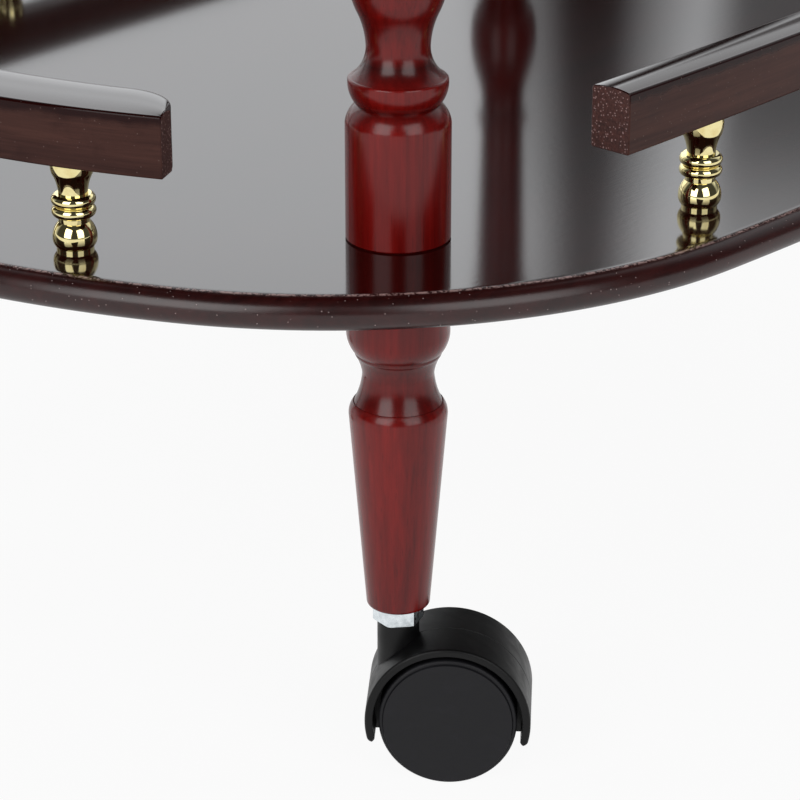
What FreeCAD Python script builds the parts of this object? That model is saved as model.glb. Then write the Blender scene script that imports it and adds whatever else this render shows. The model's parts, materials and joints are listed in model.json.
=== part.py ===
import FreeCAD, Part
import math
import os

# Two-tier serving trolley: round-cornered shelves with gallery rails on brass spindles, turned
# posts and feet, and four hooded twin-wheel casters.
# Frame: +Z up from the floor, X along the shelves' length, origin on the floor under the middle.
# Sizes are in millimetres and angles in degrees. _D is a diameter, _H a height along the piece.

# ---------------------------------------------------------------- shelves
SHELF_LENGTH = 730.0
SHELF_WIDTH = 530.0
SHELF_THICK = 12.4
END_ARC = 348.0            # radius of the bowed short ends
CORNER_ARC = 197.0         # radius of the corners
SIDE_ARC = 1739.0          # radius of the bowed long sides

# ---------------------------------------------------------------- legs
LEG_INSET = 59.5           # leg axis in from the shelf's edge
LEG_BEARING = 48.4         # bearing of the leg from its corner arc's centre
LEG_D = 36.2               # the plain blocks that meet the shelves
ARRIS = 0.6                # eased edge where a block meets a shelf

POST_HEIGHT = 488.0
POST_BLOCK_H = 41.3
POST_SHOULDER_H = 6.5
POST_GROOVE_D = 28.6
POST_RING_D = 34.2
POST_RING_H = 8.5
POST_LIP = 0.9             # rounding of the ring's upper edge
POST_COVE_H = 12.0
POST_WAIST_D = 22.0
POST_FLARE_D = 28.6
POST_FLARE_H = 11.3
POST_VASE_D = 35.0
POST_VASE_H = 15.5
POST_FALL_D = 27.2
POST_FALL_H = 26.0
POST_THROAT_D = 22.0
POST_THROAT_H = 19.0
POST_BEAD_D = 28.0
POST_BEAD_H = 6.0
POST_SHAFT_D = 26.0        # at the middle of the post
MIDDLE_RING_D = 31.0
MIDDLE_RING_H = 8.0

FOOT_TIP_D = 22.9
FOOT_TIP_ROUND = 1.5
FOOT_TAPER_H = 72.5
FOOT_SHOULDER_D = 34.8
FOOT_SHOULDER_H = 5.2
FOOT_LINE_D = 31.8         # where the shoulder ends in a scribed line
FOOT_LINE_STEP = 0.35
FOOT_FLARE_H = 10.7
FOOT_WAIST_D = 25.2
FOOT_COVE_H = 6.6
FOOT_FILLET_D = 29.4
FOOT_FILLET_H = 1.6
FOOT_BEAD_FOOT_D = 30.6
FOOT_BEAD_H = 8.9
FOOT_BLOCK_H = 20.6

FINIAL_BLOCK_H = 10.0
FINIAL_SHOULDER_H = 5.0
FINIAL_NECK_D = 17.0
FINIAL_NECK_H = 3.0
FINIAL_BALL_D = 27.0

# ---------------------------------------------------------------- gallery
RAIL_HEIGHT = 22.5
RAIL_CROWN = 0.8           # how far the middle of a rail's top stands above its edges
RAIL_ARRIS = 1.0
RAIL_RISE = 33.0           # shelf to underside of rail, the height of a spindle

END_RAIL_WIDTH = 27.0
END_RAIL_INSET = 29.0      # rail's centreline in from the shelf's edge, at the rail's middle
END_RAIL_GAP = 41.5        # along Y, from the leg's axis to the end of the centreline
END_RAIL_CORNER = 22.0     # rounded inner corners
END_RAIL_SPINDLES = 3
END_SETBACK = 38.5         # rail's end to its first spindle

SIDE_RAIL_WIDTH = 16.5
SIDE_RAIL_INSET = 35.4
SIDE_RAIL_GAP = 39.0       # along X, from the leg's axis to the end of the centreline
SIDE_RAIL_ARC = 3150.0     # radius of the centreline
SIDE_RAIL_SPINDLES = 4
SIDE_SETBACK = 52.0

SPINDLE_D = 15.3           # bulb and beads
SPINDLE_BASE_D = 12.8
SPINDLE_BASE_H = 1.0
SPINDLE_BELLY_H = 3.2
SPINDLE_TAPER_H = 5.8
SPINDLE_NECK_D = 10.8
SPINDLE_NECK_H = 1.8
SPINDLE_BEAD_H = 4.0
SPINDLE_BEAD_ROOT_D = 12.4
SPINDLE_THROAT_D = 10.2
SPINDLE_THROAT_H = 1.0
SPINDLE_FLARE_D = 14.2     # where the cup's fast widening ends
SPINDLE_FLARE_H = 6.4
SPINDLE_CUP_D = 15.0
SPINDLE_LIP_H = 0.8

# ---------------------------------------------------------------- screws
GALLERY_SCREW_D = 4.0
GALLERY_HEAD_D = 8.0
GALLERY_SCREW_BITE = 12.0  # length in the rail
GALLERY_HOLE_GAP = 0.15    # radial, around the screw in shelf and spindle
RECESS_WIDTH = 1.0         # cross recess in the gallery screw's head
RECESS_LENGTH = 4.6
RECESS_DEPTH = 1.4
LEG_SCREW_D = 8.0
LEG_SCREW_BITE = 30.0      # length in a foot or post
FINIAL_SCREW_BITE = 20.0
LEG_HOLE_GAP = 0.3         # radial, around the leg screw in the shelf
HOLE_END_GAP = 1.0         # spare depth past a screw's end

# ---------------------------------------------------------------- casters
CASTER_HEIGHT = 65.0       # floor to the foot
CASTER_TRAIL = 18.7        # stem axis to axle
WHEEL_D = 50.0
WHEEL_WIDTH = 11.4
WHEEL_WALL = 2.0
WHEEL_TREAD = 3.0
WHEEL_CAP_D = 47.4         # raised disc on the wheel's outer face
WHEEL_CAP_STEP = 0.8
WHEEL_ROUND = 1.0
HUB_D = 11.0
AXLE_D = 5.0
AXLE_RUNNING_GAP = 0.05
AXLE_END_GAP = 0.3
HOOD_GAP = 2.1             # wheel's tread to the hood
HOOD_WALL = 2.9
HOOD_WIDTH = 35.0
HOOD_DROP = 6.6            # how far the hood's straight tips reach below the axle
HOOD_ROUND = 1.1
PARTING_WIDTH = 0.5        # mould line around the hood's middle
PARTING_DEPTH = 0.35
WHEEL_FACE_INSET = 0.5     # wheel's outer face in from the hood's rim
WEB_GAP = 0.4              # wheel to the housing's middle web
WEB_DROP = 9.0
NECK_D = 15.2
NECK_GAP = 0.3             # neck to the collar above it
COLLAR_FLATS = 16.0
COLLAR_H = 6.3
COLLAR_CHAMFER = 0.7
COLLAR_TURN = 16.0         # bearing of one corner of the collar
STEM_THREAD_D = 10.0
STEM_THREAD_LENGTH = 22.0
STEM_PIN_D = 6.0
STEM_PIN_LENGTH = 22.0
STEM_RUNNING_GAP = 0.05
GRIP_RING_SEAT = 0.6       # how deep the ring sits in the pin
GRIP_RING_LIP = 0.5        # how far it stands out of the pin
GRIP_RING_H = 1.0
GRIP_RING_UP = 5.0         # from the pin's end to the ring
GRIP_RING_GAP = 0.3
INSERT_D = 14.0
INSERT_LENGTH = 18.0

# Signs of each corner along X and Y, and the bearing in which its caster trails.
CORNERS = {
    "front_left": (-1, -1, -54.4),
    "front_right": (1, -1, -41.0),
    "rear_left": (-1, 1, -66.0),
    "rear_right": (1, 1, -49.0),
}

# ---------------------------------------------------------------- worked out from the above
V = FreeCAD.Vector
CENTRE = V(0, 0, 0)
ALONG_X = V(1, 0, 0)
ALONG_Y = V(0, 1, 0)
UP = V(0, 0, 1)
FULL_TURN = 360.0
HALF_TURN = 180.0
QUARTER_TURN = 90.0
COLLAR_SIDES = 6
PAST = 1.0                 # how far a cutting tool runs past what it cuts
QUARTER_BOW = (math.sqrt(2) - 1) / 2
SOFT_BOW = 0.1             # rise of a gentle arc, as a share of its chord
FLAT_BOW = 0.05
COVE_BOW = 0.14

WHEEL_R = WHEEL_D / 2
FOOT_HEIGHT = (FOOT_TIP_ROUND + FOOT_TAPER_H + FOOT_SHOULDER_H + FOOT_FLARE_H + FOOT_COVE_H
               + FOOT_FILLET_H + FOOT_BEAD_H + FOOT_BLOCK_H)
LOWER_SHELF_Z = CASTER_HEIGHT + FOOT_HEIGHT
POST_Z = LOWER_SHELF_Z + SHELF_THICK
TOP_SHELF_Z = POST_Z + POST_HEIGHT
FINIAL_Z = TOP_SHELF_Z + SHELF_THICK
COLLAR_Z = CASTER_HEIGHT - COLLAR_H
HOOD_R = WHEEL_R + HOOD_GAP + HOOD_WALL
WHEEL_FACE_Y = HOOD_WIDTH / 2 - WHEEL_FACE_INSET
WHEEL_INNER_Y = WHEEL_FACE_Y - WHEEL_WIDTH
WEB_WIDTH = 2 * (WHEEL_INNER_Y - WEB_GAP)
PIN_END_Z = COLLAR_Z - STEM_PIN_LENGTH
GRIP_RING_Z = PIN_END_Z + GRIP_RING_UP
EDGE_R = SHELF_THICK / 2
TIERS = {"lower": LOWER_SHELF_Z, "top": TOP_SHELF_Z}
END_RAILS = ("left", "right")

# The bearing that each rail faces.
RAILS = {"front": -QUARTER_TURN, "rear": QUARTER_TURN, "left": HALF_TURN, "right": 0.0}


# ---------------------------------------------------------------- the shelves' outline
def polar(centre, radius, bearing):
    """The point at this radius and bearing from a centre."""
    angle = math.radians(bearing)
    return centre + V(radius * math.cos(angle), radius * math.sin(angle), 0)


def bearing_of(start, end):
    return math.degrees(math.atan2(end.y - start.y, end.x - start.x))


def outline_centres():
    """Centres of the end, corner and side arcs of the +X +Y quarter, each arc tangent to the next."""
    end = V(SHELF_LENGTH / 2 - END_ARC, 0, 0)
    side = V(0, SHELF_WIDTH / 2 - SIDE_ARC, 0)
    to_end = END_ARC - CORNER_ARC
    to_side = SIDE_ARC - CORNER_ARC
    apart = end.distanceToPoint(side)
    along = (to_end ** 2 - to_side ** 2 + apart ** 2) / (2 * apart)
    across = math.sqrt(to_end ** 2 - along ** 2)
    line = (side - end).normalize()
    return end, end + line * along + V(-line.y, line.x, 0) * across, side


END_CENTRE, CORNER_CENTRE, SIDE_CENTRE = outline_centres()
CORNER_START = bearing_of(END_CENTRE, CORNER_CENTRE)
CORNER_END = bearing_of(SIDE_CENTRE, CORNER_CENTRE)
LEG = polar(CORNER_CENTRE, CORNER_ARC - LEG_INSET, LEG_BEARING)


def quarter_arcs(inset):
    """Centre, radius, first and last bearing of a quarter's arcs, from the end's middle to the side's."""
    return [
        (END_CENTRE, END_ARC - inset, 0.0, CORNER_START),
        (CORNER_CENTRE, CORNER_ARC - inset, CORNER_START, CORNER_END),
        (SIDE_CENTRE, SIDE_ARC - inset, CORNER_END, QUARTER_TURN),
    ]


def mirrored(shape, sign_x, sign_y):
    """A shape of the +X +Y quarter carried to another quarter."""
    if sign_x < 0:
        shape = shape.mirror(CENTRE, ALONG_X)
    if sign_y < 0:
        shape = shape.mirror(CENTRE, ALONG_Y)
    return shape


QUARTERS = [(x, y) for x in (1, -1) for y in (1, -1)]


# ---------------------------------------------------------------- shape makers
class Outline:
    """A closed outline in the XZ plane, drawn upwards on its right-hand side."""

    def __init__(self, x, z):
        self.start = V(x, 0, z)
        self.at = self.start
        self.edges = []

    def to(self, x, z):
        """Straight to a point, if it isn't there already."""
        end = V(x, 0, z)
        if end.distanceToPoint(self.at) > 0:
            self.edges.append(Part.LineSegment(self.at, end).toShape())
            self.at = end

    def bow(self, x, z, share):
        """An arc to a point that stands out from its chord by this share of the chord's length."""
        end = V(x, 0, z)
        chord = end - self.at
        via = (self.at + end) * 0.5 + V(chord.z, 0, -chord.x) * share
        self.edges.append(Part.Arc(self.at, via, end).toShape())
        self.at = end

    def face(self):
        self.to(self.start.x, self.start.z)
        return Part.Face(Part.Wire(self.edges))

    def turned(self):
        """Solid of revolution about the Z axis."""
        return self.face().revolve(CENTRE, UP, FULL_TURN)


def rod(diameter, bottom, top):
    return Part.makeCylinder(diameter / 2, top - bottom, V(0, 0, bottom), UP)


def cross_rod(diameter, half_width):
    """A cylinder along Y on the caster's axle line."""
    start = V(CASTER_TRAIL, -half_width, WHEEL_R)
    return Part.makeCylinder(diameter / 2, 2 * half_width, start, ALONG_Y)


def lifted(shape, height):
    moved = shape.copy()
    moved.translate(UP * height)
    return moved


def at_leg(shape, corner):
    """A turned piece moved to its leg's axis."""
    sign_x, sign_y, _ = CORNERS[corner]
    moved = shape.copy()
    moved.translate(V(sign_x * LEG.x, sign_y * LEG.y, 0))
    return moved


def at_caster(shape, corner):
    """A caster's piece, drawn trailing along +X, turned and moved to its leg."""
    turned = shape.copy()
    turned.rotate(CENTRE, UP, CORNERS[corner][2])
    return at_leg(turned, corner)


# ---------------------------------------------------------------- gallery layout
def rail_line(rail):
    """Centre, radius and half sweep of a rail's centreline, as it is drawn facing +X."""
    if rail in END_RAILS:
        middle = SHELF_LENGTH / 2 - END_RAIL_INSET
        radius = END_ARC - END_RAIL_INSET
        reach = LEG.y - END_RAIL_GAP
    else:
        middle = SHELF_WIDTH / 2 - SIDE_RAIL_INSET
        radius = SIDE_RAIL_ARC
        reach = LEG.x - SIDE_RAIL_GAP
    return V(middle - radius, 0, 0), radius, math.degrees(math.asin(reach / radius))


def spindle_places(rail):
    """Centres of a rail's spindles, evenly spaced between its outermost two."""
    centre, radius, sweep = rail_line(rail)
    if rail in END_RAILS:
        setback = END_SETBACK
        count = END_RAIL_SPINDLES
    else:
        setback = SIDE_SETBACK
        count = SIDE_RAIL_SPINDLES
    half = sweep - math.degrees(setback / radius)
    places = []
    for number in range(count):
        drawn = polar(centre, radius, half * (2 * number / (count - 1) - 1))
        places.append(polar(CENTRE, drawn.Length, bearing_of(CENTRE, drawn) + RAILS[rail]))
    return places


# ---------------------------------------------------------------- screws
def gallery_screw(gap=0.0, past=0.0):
    """Countersunk screw from the shelf's underside at height 0 up into a rail, or with a gap its hole."""
    radius = GALLERY_SCREW_D / 2 + gap
    head = GALLERY_HEAD_D / 2 + gap
    top = SHELF_THICK + RAIL_RISE + GALLERY_SCREW_BITE
    drawing = Outline(0, -past)
    drawing.to(head, -past)
    if past > 0:
        drawing.to(head, 0)
    drawing.to(radius, head - radius)
    drawing.to(radius, top)
    drawing.to(0, top)
    return drawing.turned()


def cross_recess():
    slot = Part.makeBox(RECESS_LENGTH, RECESS_WIDTH, RECESS_DEPTH + PAST)
    slot.translate(V(-RECESS_LENGTH / 2, -RECESS_WIDTH / 2, -PAST))
    other = slot.copy()
    other.rotate(CENTRE, UP, QUARTER_TURN)
    return slot.fuse(other)


def gallery_screws(bottom):
    screw = lifted(gallery_screw().cut(cross_recess()), bottom)
    screws = []
    for rail in RAILS:
        for place in spindle_places(rail):
            one = screw.copy()
            one.translate(place)
            screws.append(one)
    return Part.Compound(screws)


def leg_screws(shelf_z, bite_above):
    """Double-ended screws through a shelf's leg holes."""
    screw = rod(LEG_SCREW_D, shelf_z - LEG_SCREW_BITE, shelf_z + SHELF_THICK + bite_above)
    return Part.Compound([at_leg(screw, corner) for corner in CORNERS])


# ---------------------------------------------------------------- shelf
def shelf(bottom):
    """Board with a half-round edge, bored for the leg screws and the gallery screws."""
    rim_arcs = []
    rims = []
    for centre, radius, first, last in quarter_arcs(EDGE_R):
        middle = (first + last) / 2
        points = [polar(centre, radius, bearing) for bearing in (first, middle, last)]
        rim_arcs.append(Part.Arc(*points).toShape())
        section = Outline(radius, 0)
        section.bow(radius, SHELF_THICK, 0.5)
        rim = section.face()
        rim.rotate(CENTRE, UP, first)
        rim = rim.revolve(CENTRE, UP, last - first)
        rim.translate(centre)
        rims.append(rim)
    edges = [mirrored(arc, x, y) for x, y in QUARTERS for arc in rim_arcs]
    board = Part.Face(Part.Wire(Part.__sortEdges__(edges))).extrude(UP * SHELF_THICK)
    board = board.fuse([mirrored(rim, x, y) for x, y in QUARTERS for rim in rims]).removeSplitter()
    leg_hole = rod(LEG_SCREW_D + 2 * LEG_HOLE_GAP, -PAST, SHELF_THICK + PAST)
    tools = [at_leg(leg_hole, corner) for corner in CORNERS]
    screw_hole = gallery_screw(GALLERY_HOLE_GAP, PAST)
    for rail in RAILS:
        for place in spindle_places(rail):
            tool = screw_hole.copy()
            tool.translate(place)
            tools.append(tool)
    return lifted(board.cut(tools), bottom)


# ---------------------------------------------------------------- turned legs
def half_post():
    """The lower half of a post, bottom at height 0."""
    drawing = Outline(0, 0)
    drawing.to(LEG_D / 2 - ARRIS, 0)
    drawing.to(LEG_D / 2, ARRIS)
    height = POST_BLOCK_H
    drawing.to(LEG_D / 2, height)
    height += POST_SHOULDER_H
    drawing.bow(POST_GROOVE_D / 2, height, SOFT_BOW)
    height += POST_RING_H
    drawing.bow(POST_RING_D / 2, height, SOFT_BOW)
    height += POST_LIP
    drawing.bow(POST_RING_D / 2 - POST_LIP, height, QUARTER_BOW)
    height += POST_COVE_H
    drawing.bow(POST_WAIST_D / 2, height, -COVE_BOW)
    height += POST_FLARE_H
    drawing.bow(POST_FLARE_D / 2, height, -FLAT_BOW)
    height += POST_VASE_H
    drawing.bow(POST_VASE_D / 2, height, FLAT_BOW)
    height += POST_FALL_H
    drawing.bow(POST_FALL_D / 2, height, FLAT_BOW)
    height += POST_THROAT_H
    drawing.bow(POST_THROAT_D / 2, height, -FLAT_BOW)
    height += POST_BEAD_H / 2
    drawing.bow(POST_BEAD_D / 2, height, QUARTER_BOW)
    height += POST_BEAD_H / 2
    drawing.bow(POST_THROAT_D / 2, height, QUARTER_BOW)
    drawing.to(POST_SHAFT_D / 2, POST_HEIGHT / 2 - MIDDLE_RING_H / 2)
    drawing.bow(MIDDLE_RING_D / 2, POST_HEIGHT / 2, QUARTER_BOW)
    drawing.to(0, POST_HEIGHT / 2)
    return drawing.turned().cut(rod(LEG_SCREW_D, -PAST, LEG_SCREW_BITE + HOLE_END_GAP))


def post():
    """Post that is turned alike from both of its ends."""
    lower = half_post()
    upper = lower.mirror(V(0, 0, POST_HEIGHT / 2), UP)
    return lifted(lower.fuse(upper).removeSplitter(), POST_Z)


def foot():
    drawing = Outline(0, 0)
    drawing.to(FOOT_TIP_D / 2 - FOOT_TIP_ROUND, 0)
    height = FOOT_TIP_ROUND
    drawing.bow(FOOT_TIP_D / 2, height, QUARTER_BOW)
    height += FOOT_TAPER_H
    drawing.to(FOOT_SHOULDER_D / 2, height)
    height += FOOT_SHOULDER_H
    drawing.bow(FOOT_LINE_D / 2, height, SOFT_BOW)
    drawing.to(FOOT_LINE_D / 2 - FOOT_LINE_STEP, height)
    height += FOOT_FLARE_H
    drawing.bow(FOOT_WAIST_D / 2, height, -FLAT_BOW)
    height += FOOT_COVE_H
    drawing.bow(FOOT_FILLET_D / 2, height, -FLAT_BOW)
    height += FOOT_FILLET_H
    drawing.bow(FOOT_BEAD_FOOT_D / 2, height, SOFT_BOW)
    height += FOOT_BEAD_H
    drawing.bow(LEG_D / 2, height, SOFT_BOW)
    drawing.to(LEG_D / 2, FOOT_HEIGHT - ARRIS)
    drawing.to(LEG_D / 2 - ARRIS, FOOT_HEIGHT)
    drawing.to(0, FOOT_HEIGHT)
    solid = drawing.turned()
    solid = solid.cut(rod(LEG_SCREW_D, FOOT_HEIGHT - LEG_SCREW_BITE - HOLE_END_GAP, FOOT_HEIGHT + PAST))
    solid = solid.cut(rod(INSERT_D, -PAST, INSERT_LENGTH))
    solid = solid.cut(rod(STEM_THREAD_D, 0, STEM_THREAD_LENGTH + HOLE_END_GAP))
    return lifted(solid, CASTER_HEIGHT)


def finial():
    drawing = Outline(0, 0)
    drawing.to(LEG_D / 2 - ARRIS, 0)
    drawing.to(LEG_D / 2, ARRIS)
    drawing.to(LEG_D / 2, FINIAL_BLOCK_H)
    neck = FINIAL_BLOCK_H + FINIAL_SHOULDER_H
    drawing.bow(FINIAL_NECK_D / 2, neck, QUARTER_BOW)
    ball_start = neck + FINIAL_NECK_H
    drawing.to(FINIAL_NECK_D / 2, ball_start)
    ball_r = FINIAL_BALL_D / 2
    centre = ball_start + math.sqrt(ball_r ** 2 - (FINIAL_NECK_D / 2) ** 2)
    drawing.bow(ball_r, centre, ball_bow(FINIAL_NECK_D / FINIAL_BALL_D))
    drawing.bow(0, centre + ball_r, QUARTER_BOW)
    solid = drawing.turned()
    return lifted(solid.cut(rod(LEG_SCREW_D, -PAST, FINIAL_SCREW_BITE + HOLE_END_GAP)), FINIAL_Z)


def ball_bow(neck_share):
    """Bow of the arc from a ball's neck, a share of its radius, out to its equator."""
    swept = math.acos(neck_share)
    return math.tan(swept / 4) / 2


# ---------------------------------------------------------------- gallery
def spindle():
    """Hollow brass spindle, bottom at height 0."""
    drawing = Outline(GALLERY_SCREW_D / 2 + GALLERY_HOLE_GAP, 0)
    drawing.to(SPINDLE_BASE_D / 2, 0)
    height = SPINDLE_BASE_H
    drawing.to(SPINDLE_BASE_D / 2, height)
    height += SPINDLE_BELLY_H
    drawing.bow(SPINDLE_D / 2, height, SOFT_BOW)
    height += SPINDLE_TAPER_H
    drawing.bow(SPINDLE_NECK_D / 2, height, SOFT_BOW)
    height += SPINDLE_NECK_H
    drawing.to(SPINDLE_NECK_D / 2, height)
    for _ in ("lower bead", "upper bead"):
        drawing.to(SPINDLE_BEAD_ROOT_D / 2, height)
        height += SPINDLE_BEAD_H
        bead_bow = (SPINDLE_D - SPINDLE_BEAD_ROOT_D) / 2 / SPINDLE_BEAD_H
        drawing.bow(SPINDLE_BEAD_ROOT_D / 2, height, bead_bow)
    drawing.to(SPINDLE_THROAT_D / 2, height)
    height += SPINDLE_THROAT_H
    drawing.to(SPINDLE_THROAT_D / 2, height)
    height += SPINDLE_FLARE_H
    drawing.bow(SPINDLE_FLARE_D / 2, height, -FLAT_BOW)
    drawing.bow(SPINDLE_CUP_D / 2, RAIL_RISE - SPINDLE_LIP_H, FLAT_BOW)
    drawing.to(SPINDLE_CUP_D / 2, RAIL_RISE)
    drawing.to(GALLERY_SCREW_D / 2 + GALLERY_HOLE_GAP, RAIL_RISE)
    return drawing.turned()


def spindles(rail, shelf_top):
    turned = lifted(spindle(), shelf_top)
    copies = []
    for place in spindle_places(rail):
        one = turned.copy()
        one.translate(place)
        copies.append(one)
    return Part.Compound(copies)


def rail_section(radius, width):
    """Section of a rail at this radius, inner side towards the axis, underside at height 0."""
    inner = radius - width / 2
    outer = radius + width / 2
    edge = RAIL_HEIGHT - RAIL_CROWN
    drawing = Outline(inner + RAIL_ARRIS, 0)
    drawing.to(outer - RAIL_ARRIS, 0)
    drawing.bow(outer, RAIL_ARRIS, QUARTER_BOW)
    drawing.to(outer, edge - RAIL_ARRIS)
    drawing.bow(outer - RAIL_ARRIS, edge, QUARTER_BOW)
    top_width = width - 2 * RAIL_ARRIS
    drawing.bow(inner + RAIL_ARRIS, edge, RAIL_CROWN / top_width)
    drawing.bow(inner, edge - RAIL_ARRIS, QUARTER_BOW)
    drawing.to(inner, RAIL_ARRIS)
    drawing.bow(inner + RAIL_ARRIS, 0, QUARTER_BOW)
    return drawing.face()


def corner_rounder():
    """What an end rail's rounded inner corner leaves off, at the +Y end of the rail facing +X."""
    centre, radius, sweep = rail_line("right")
    inner = radius - END_RAIL_WIDTH / 2
    to_middle = inner + END_RAIL_CORNER
    back = math.asin(END_RAIL_CORNER / to_middle)
    middle = to_middle * math.cos(back)
    touch = polar(CENTRE, inner, -math.degrees(back))
    block = Part.makeBox(middle - touch.x + PAST, PAST - touch.y, RAIL_HEIGHT + 2 * PAST)
    block.translate(V(touch.x - PAST, touch.y, -PAST))
    round_off = rod(2 * END_RAIL_CORNER, -2 * PAST, RAIL_HEIGHT + 2 * PAST)
    round_off.translate(V(middle, -END_RAIL_CORNER, 0))
    tool = block.cut(round_off)
    tool.rotate(CENTRE, UP, sweep)
    tool.translate(centre)
    return tool


def rail(name, shelf_top):
    """One gallery rail, with a pilot hole over each spindle."""
    centre, radius, sweep = rail_line(name)
    width = END_RAIL_WIDTH if name in END_RAILS else SIDE_RAIL_WIDTH
    whole = rail_section(radius, width)
    whole.rotate(CENTRE, UP, -sweep)
    whole = whole.revolve(CENTRE, UP, 2 * sweep)
    whole.translate(centre)
    if name in END_RAILS:
        rounder = corner_rounder()
        whole = whole.cut([rounder, rounder.mirror(CENTRE, ALONG_Y)])
    whole.rotate(CENTRE, UP, RAILS[name])
    holes = []
    for place in spindle_places(name):
        hole = rod(GALLERY_SCREW_D, -PAST, GALLERY_SCREW_BITE + HOLE_END_GAP)
        hole.translate(place)
        holes.append(hole)
    return lifted(whole.cut(holes), shelf_top + RAIL_RISE)


# ---------------------------------------------------------------- casters
def stem():
    """Threaded stem with its hexagon collar and the plain pin that the housing turns on."""
    corner_r = COLLAR_FLATS / 2 / math.cos(math.pi / COLLAR_SIDES)
    points = [polar(V(0, 0, COLLAR_Z), corner_r, COLLAR_TURN + side * FULL_TURN / COLLAR_SIDES)
              for side in range(COLLAR_SIDES + 1)]
    collar = Part.Face(Part.makePolygon(points)).extrude(UP * COLLAR_H)
    eased = Outline(0, COLLAR_Z)
    eased.to(corner_r - COLLAR_CHAMFER, COLLAR_Z)
    eased.to(corner_r, COLLAR_Z + COLLAR_CHAMFER / 2)
    eased.to(corner_r, CASTER_HEIGHT - COLLAR_CHAMFER / 2)
    eased.to(corner_r - COLLAR_CHAMFER, CASTER_HEIGHT)
    eased.to(0, CASTER_HEIGHT)
    collar = collar.common(eased.turned())
    thread = rod(STEM_THREAD_D, CASTER_HEIGHT, CASTER_HEIGHT + STEM_THREAD_LENGTH)
    pin = rod(STEM_PIN_D, PIN_END_Z, COLLAR_Z)
    groove = rod(STEM_PIN_D, GRIP_RING_Z, GRIP_RING_Z + GRIP_RING_H)
    groove = groove.cut(rod(STEM_PIN_D - 2 * GRIP_RING_SEAT, GRIP_RING_Z, GRIP_RING_Z + GRIP_RING_H))
    return collar.fuse([thread, pin]).removeSplitter().cut(groove)


def grip_ring():
    """Ring in the pin's groove that keeps the housing on its stem."""
    top = GRIP_RING_Z + GRIP_RING_H
    ring = rod(STEM_PIN_D + 2 * GRIP_RING_LIP, GRIP_RING_Z, top)
    return ring.cut(rod(STEM_PIN_D - 2 * GRIP_RING_SEAT, GRIP_RING_Z, top))


def stem_insert():
    """Threaded sleeve in the foot's tip."""
    sleeve = rod(INSERT_D, CASTER_HEIGHT, CASTER_HEIGHT + INSERT_LENGTH)
    return sleeve.cut(rod(STEM_THREAD_D, CASTER_HEIGHT - PAST, CASTER_HEIGHT + INSERT_LENGTH + PAST))


def hood():
    """The curved cover over both wheels, with rounded tips and a mould line."""
    inner = HOOD_R - HOOD_WALL
    half = HOOD_WIDTH / 2
    section = Outline(inner, -half)
    section.to(HOOD_R - HOOD_ROUND, -half)
    section.bow(HOOD_R, -half + HOOD_ROUND, QUARTER_BOW)
    section.to(HOOD_R, -PARTING_WIDTH / 2)
    section.to(HOOD_R - PARTING_DEPTH, 0)
    section.to(HOOD_R, PARTING_WIDTH / 2)
    section.to(HOOD_R, half - HOOD_ROUND)
    section.bow(HOOD_R - HOOD_ROUND, half, QUARTER_BOW)
    section.to(inner, half)
    dip = math.degrees(math.asin(HOOD_DROP / (inner + HOOD_WALL / 2)))
    cover = section.face()
    cover.rotate(CENTRE, UP, -dip)
    cover = cover.revolve(CENTRE, UP, HALF_TURN + 2 * dip)
    for bearing in (-dip, HALF_TURN + dip):
        tip = Part.makeCylinder(HOOD_WALL / 2, HOOD_WIDTH, V(0, 0, -half), UP)
        tip.translate(polar(CENTRE, inner + HOOD_WALL / 2, bearing))
        cover = cover.fuse(tip)
    cover.rotate(CENTRE, ALONG_X, QUARTER_TURN)
    cover.translate(V(CASTER_TRAIL, 0, WHEEL_R))
    return cover


def housing():
    """Hood, middle web and neck in one moulding, bored for the stem's pin and the axle."""
    inner_d = 2 * (HOOD_R - HOOD_WALL)
    web = cross_rod(inner_d + HOOD_WALL, WEB_WIDTH / 2)
    below = Part.makeBox(2 * inner_d, 2 * HOOD_WIDTH, WHEEL_R)
    below.translate(V(CASTER_TRAIL - inner_d, -HOOD_WIDTH, -WEB_DROP))
    web = web.cut(below)
    neck = rod(NECK_D, WHEEL_R, COLLAR_Z - NECK_GAP)
    neck = neck.cut(cross_rod(inner_d, HOOD_WIDTH))
    body = hood().fuse([web, neck])
    bore_d = STEM_PIN_D + 2 * STEM_RUNNING_GAP
    bore = rod(bore_d, PIN_END_Z - HOLE_END_GAP, CASTER_HEIGHT)
    ring_room = rod(STEM_PIN_D + 2 * (GRIP_RING_LIP + GRIP_RING_GAP), GRIP_RING_Z - GRIP_RING_GAP,
                    GRIP_RING_Z + GRIP_RING_H + GRIP_RING_GAP)
    return body.cut([bore, ring_room, cross_rod(AXLE_D, HOOD_WIDTH)])


def axle():
    half = WHEEL_FACE_Y - WHEEL_WALL - AXLE_END_GAP
    return cross_rod(AXLE_D, half)


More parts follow.
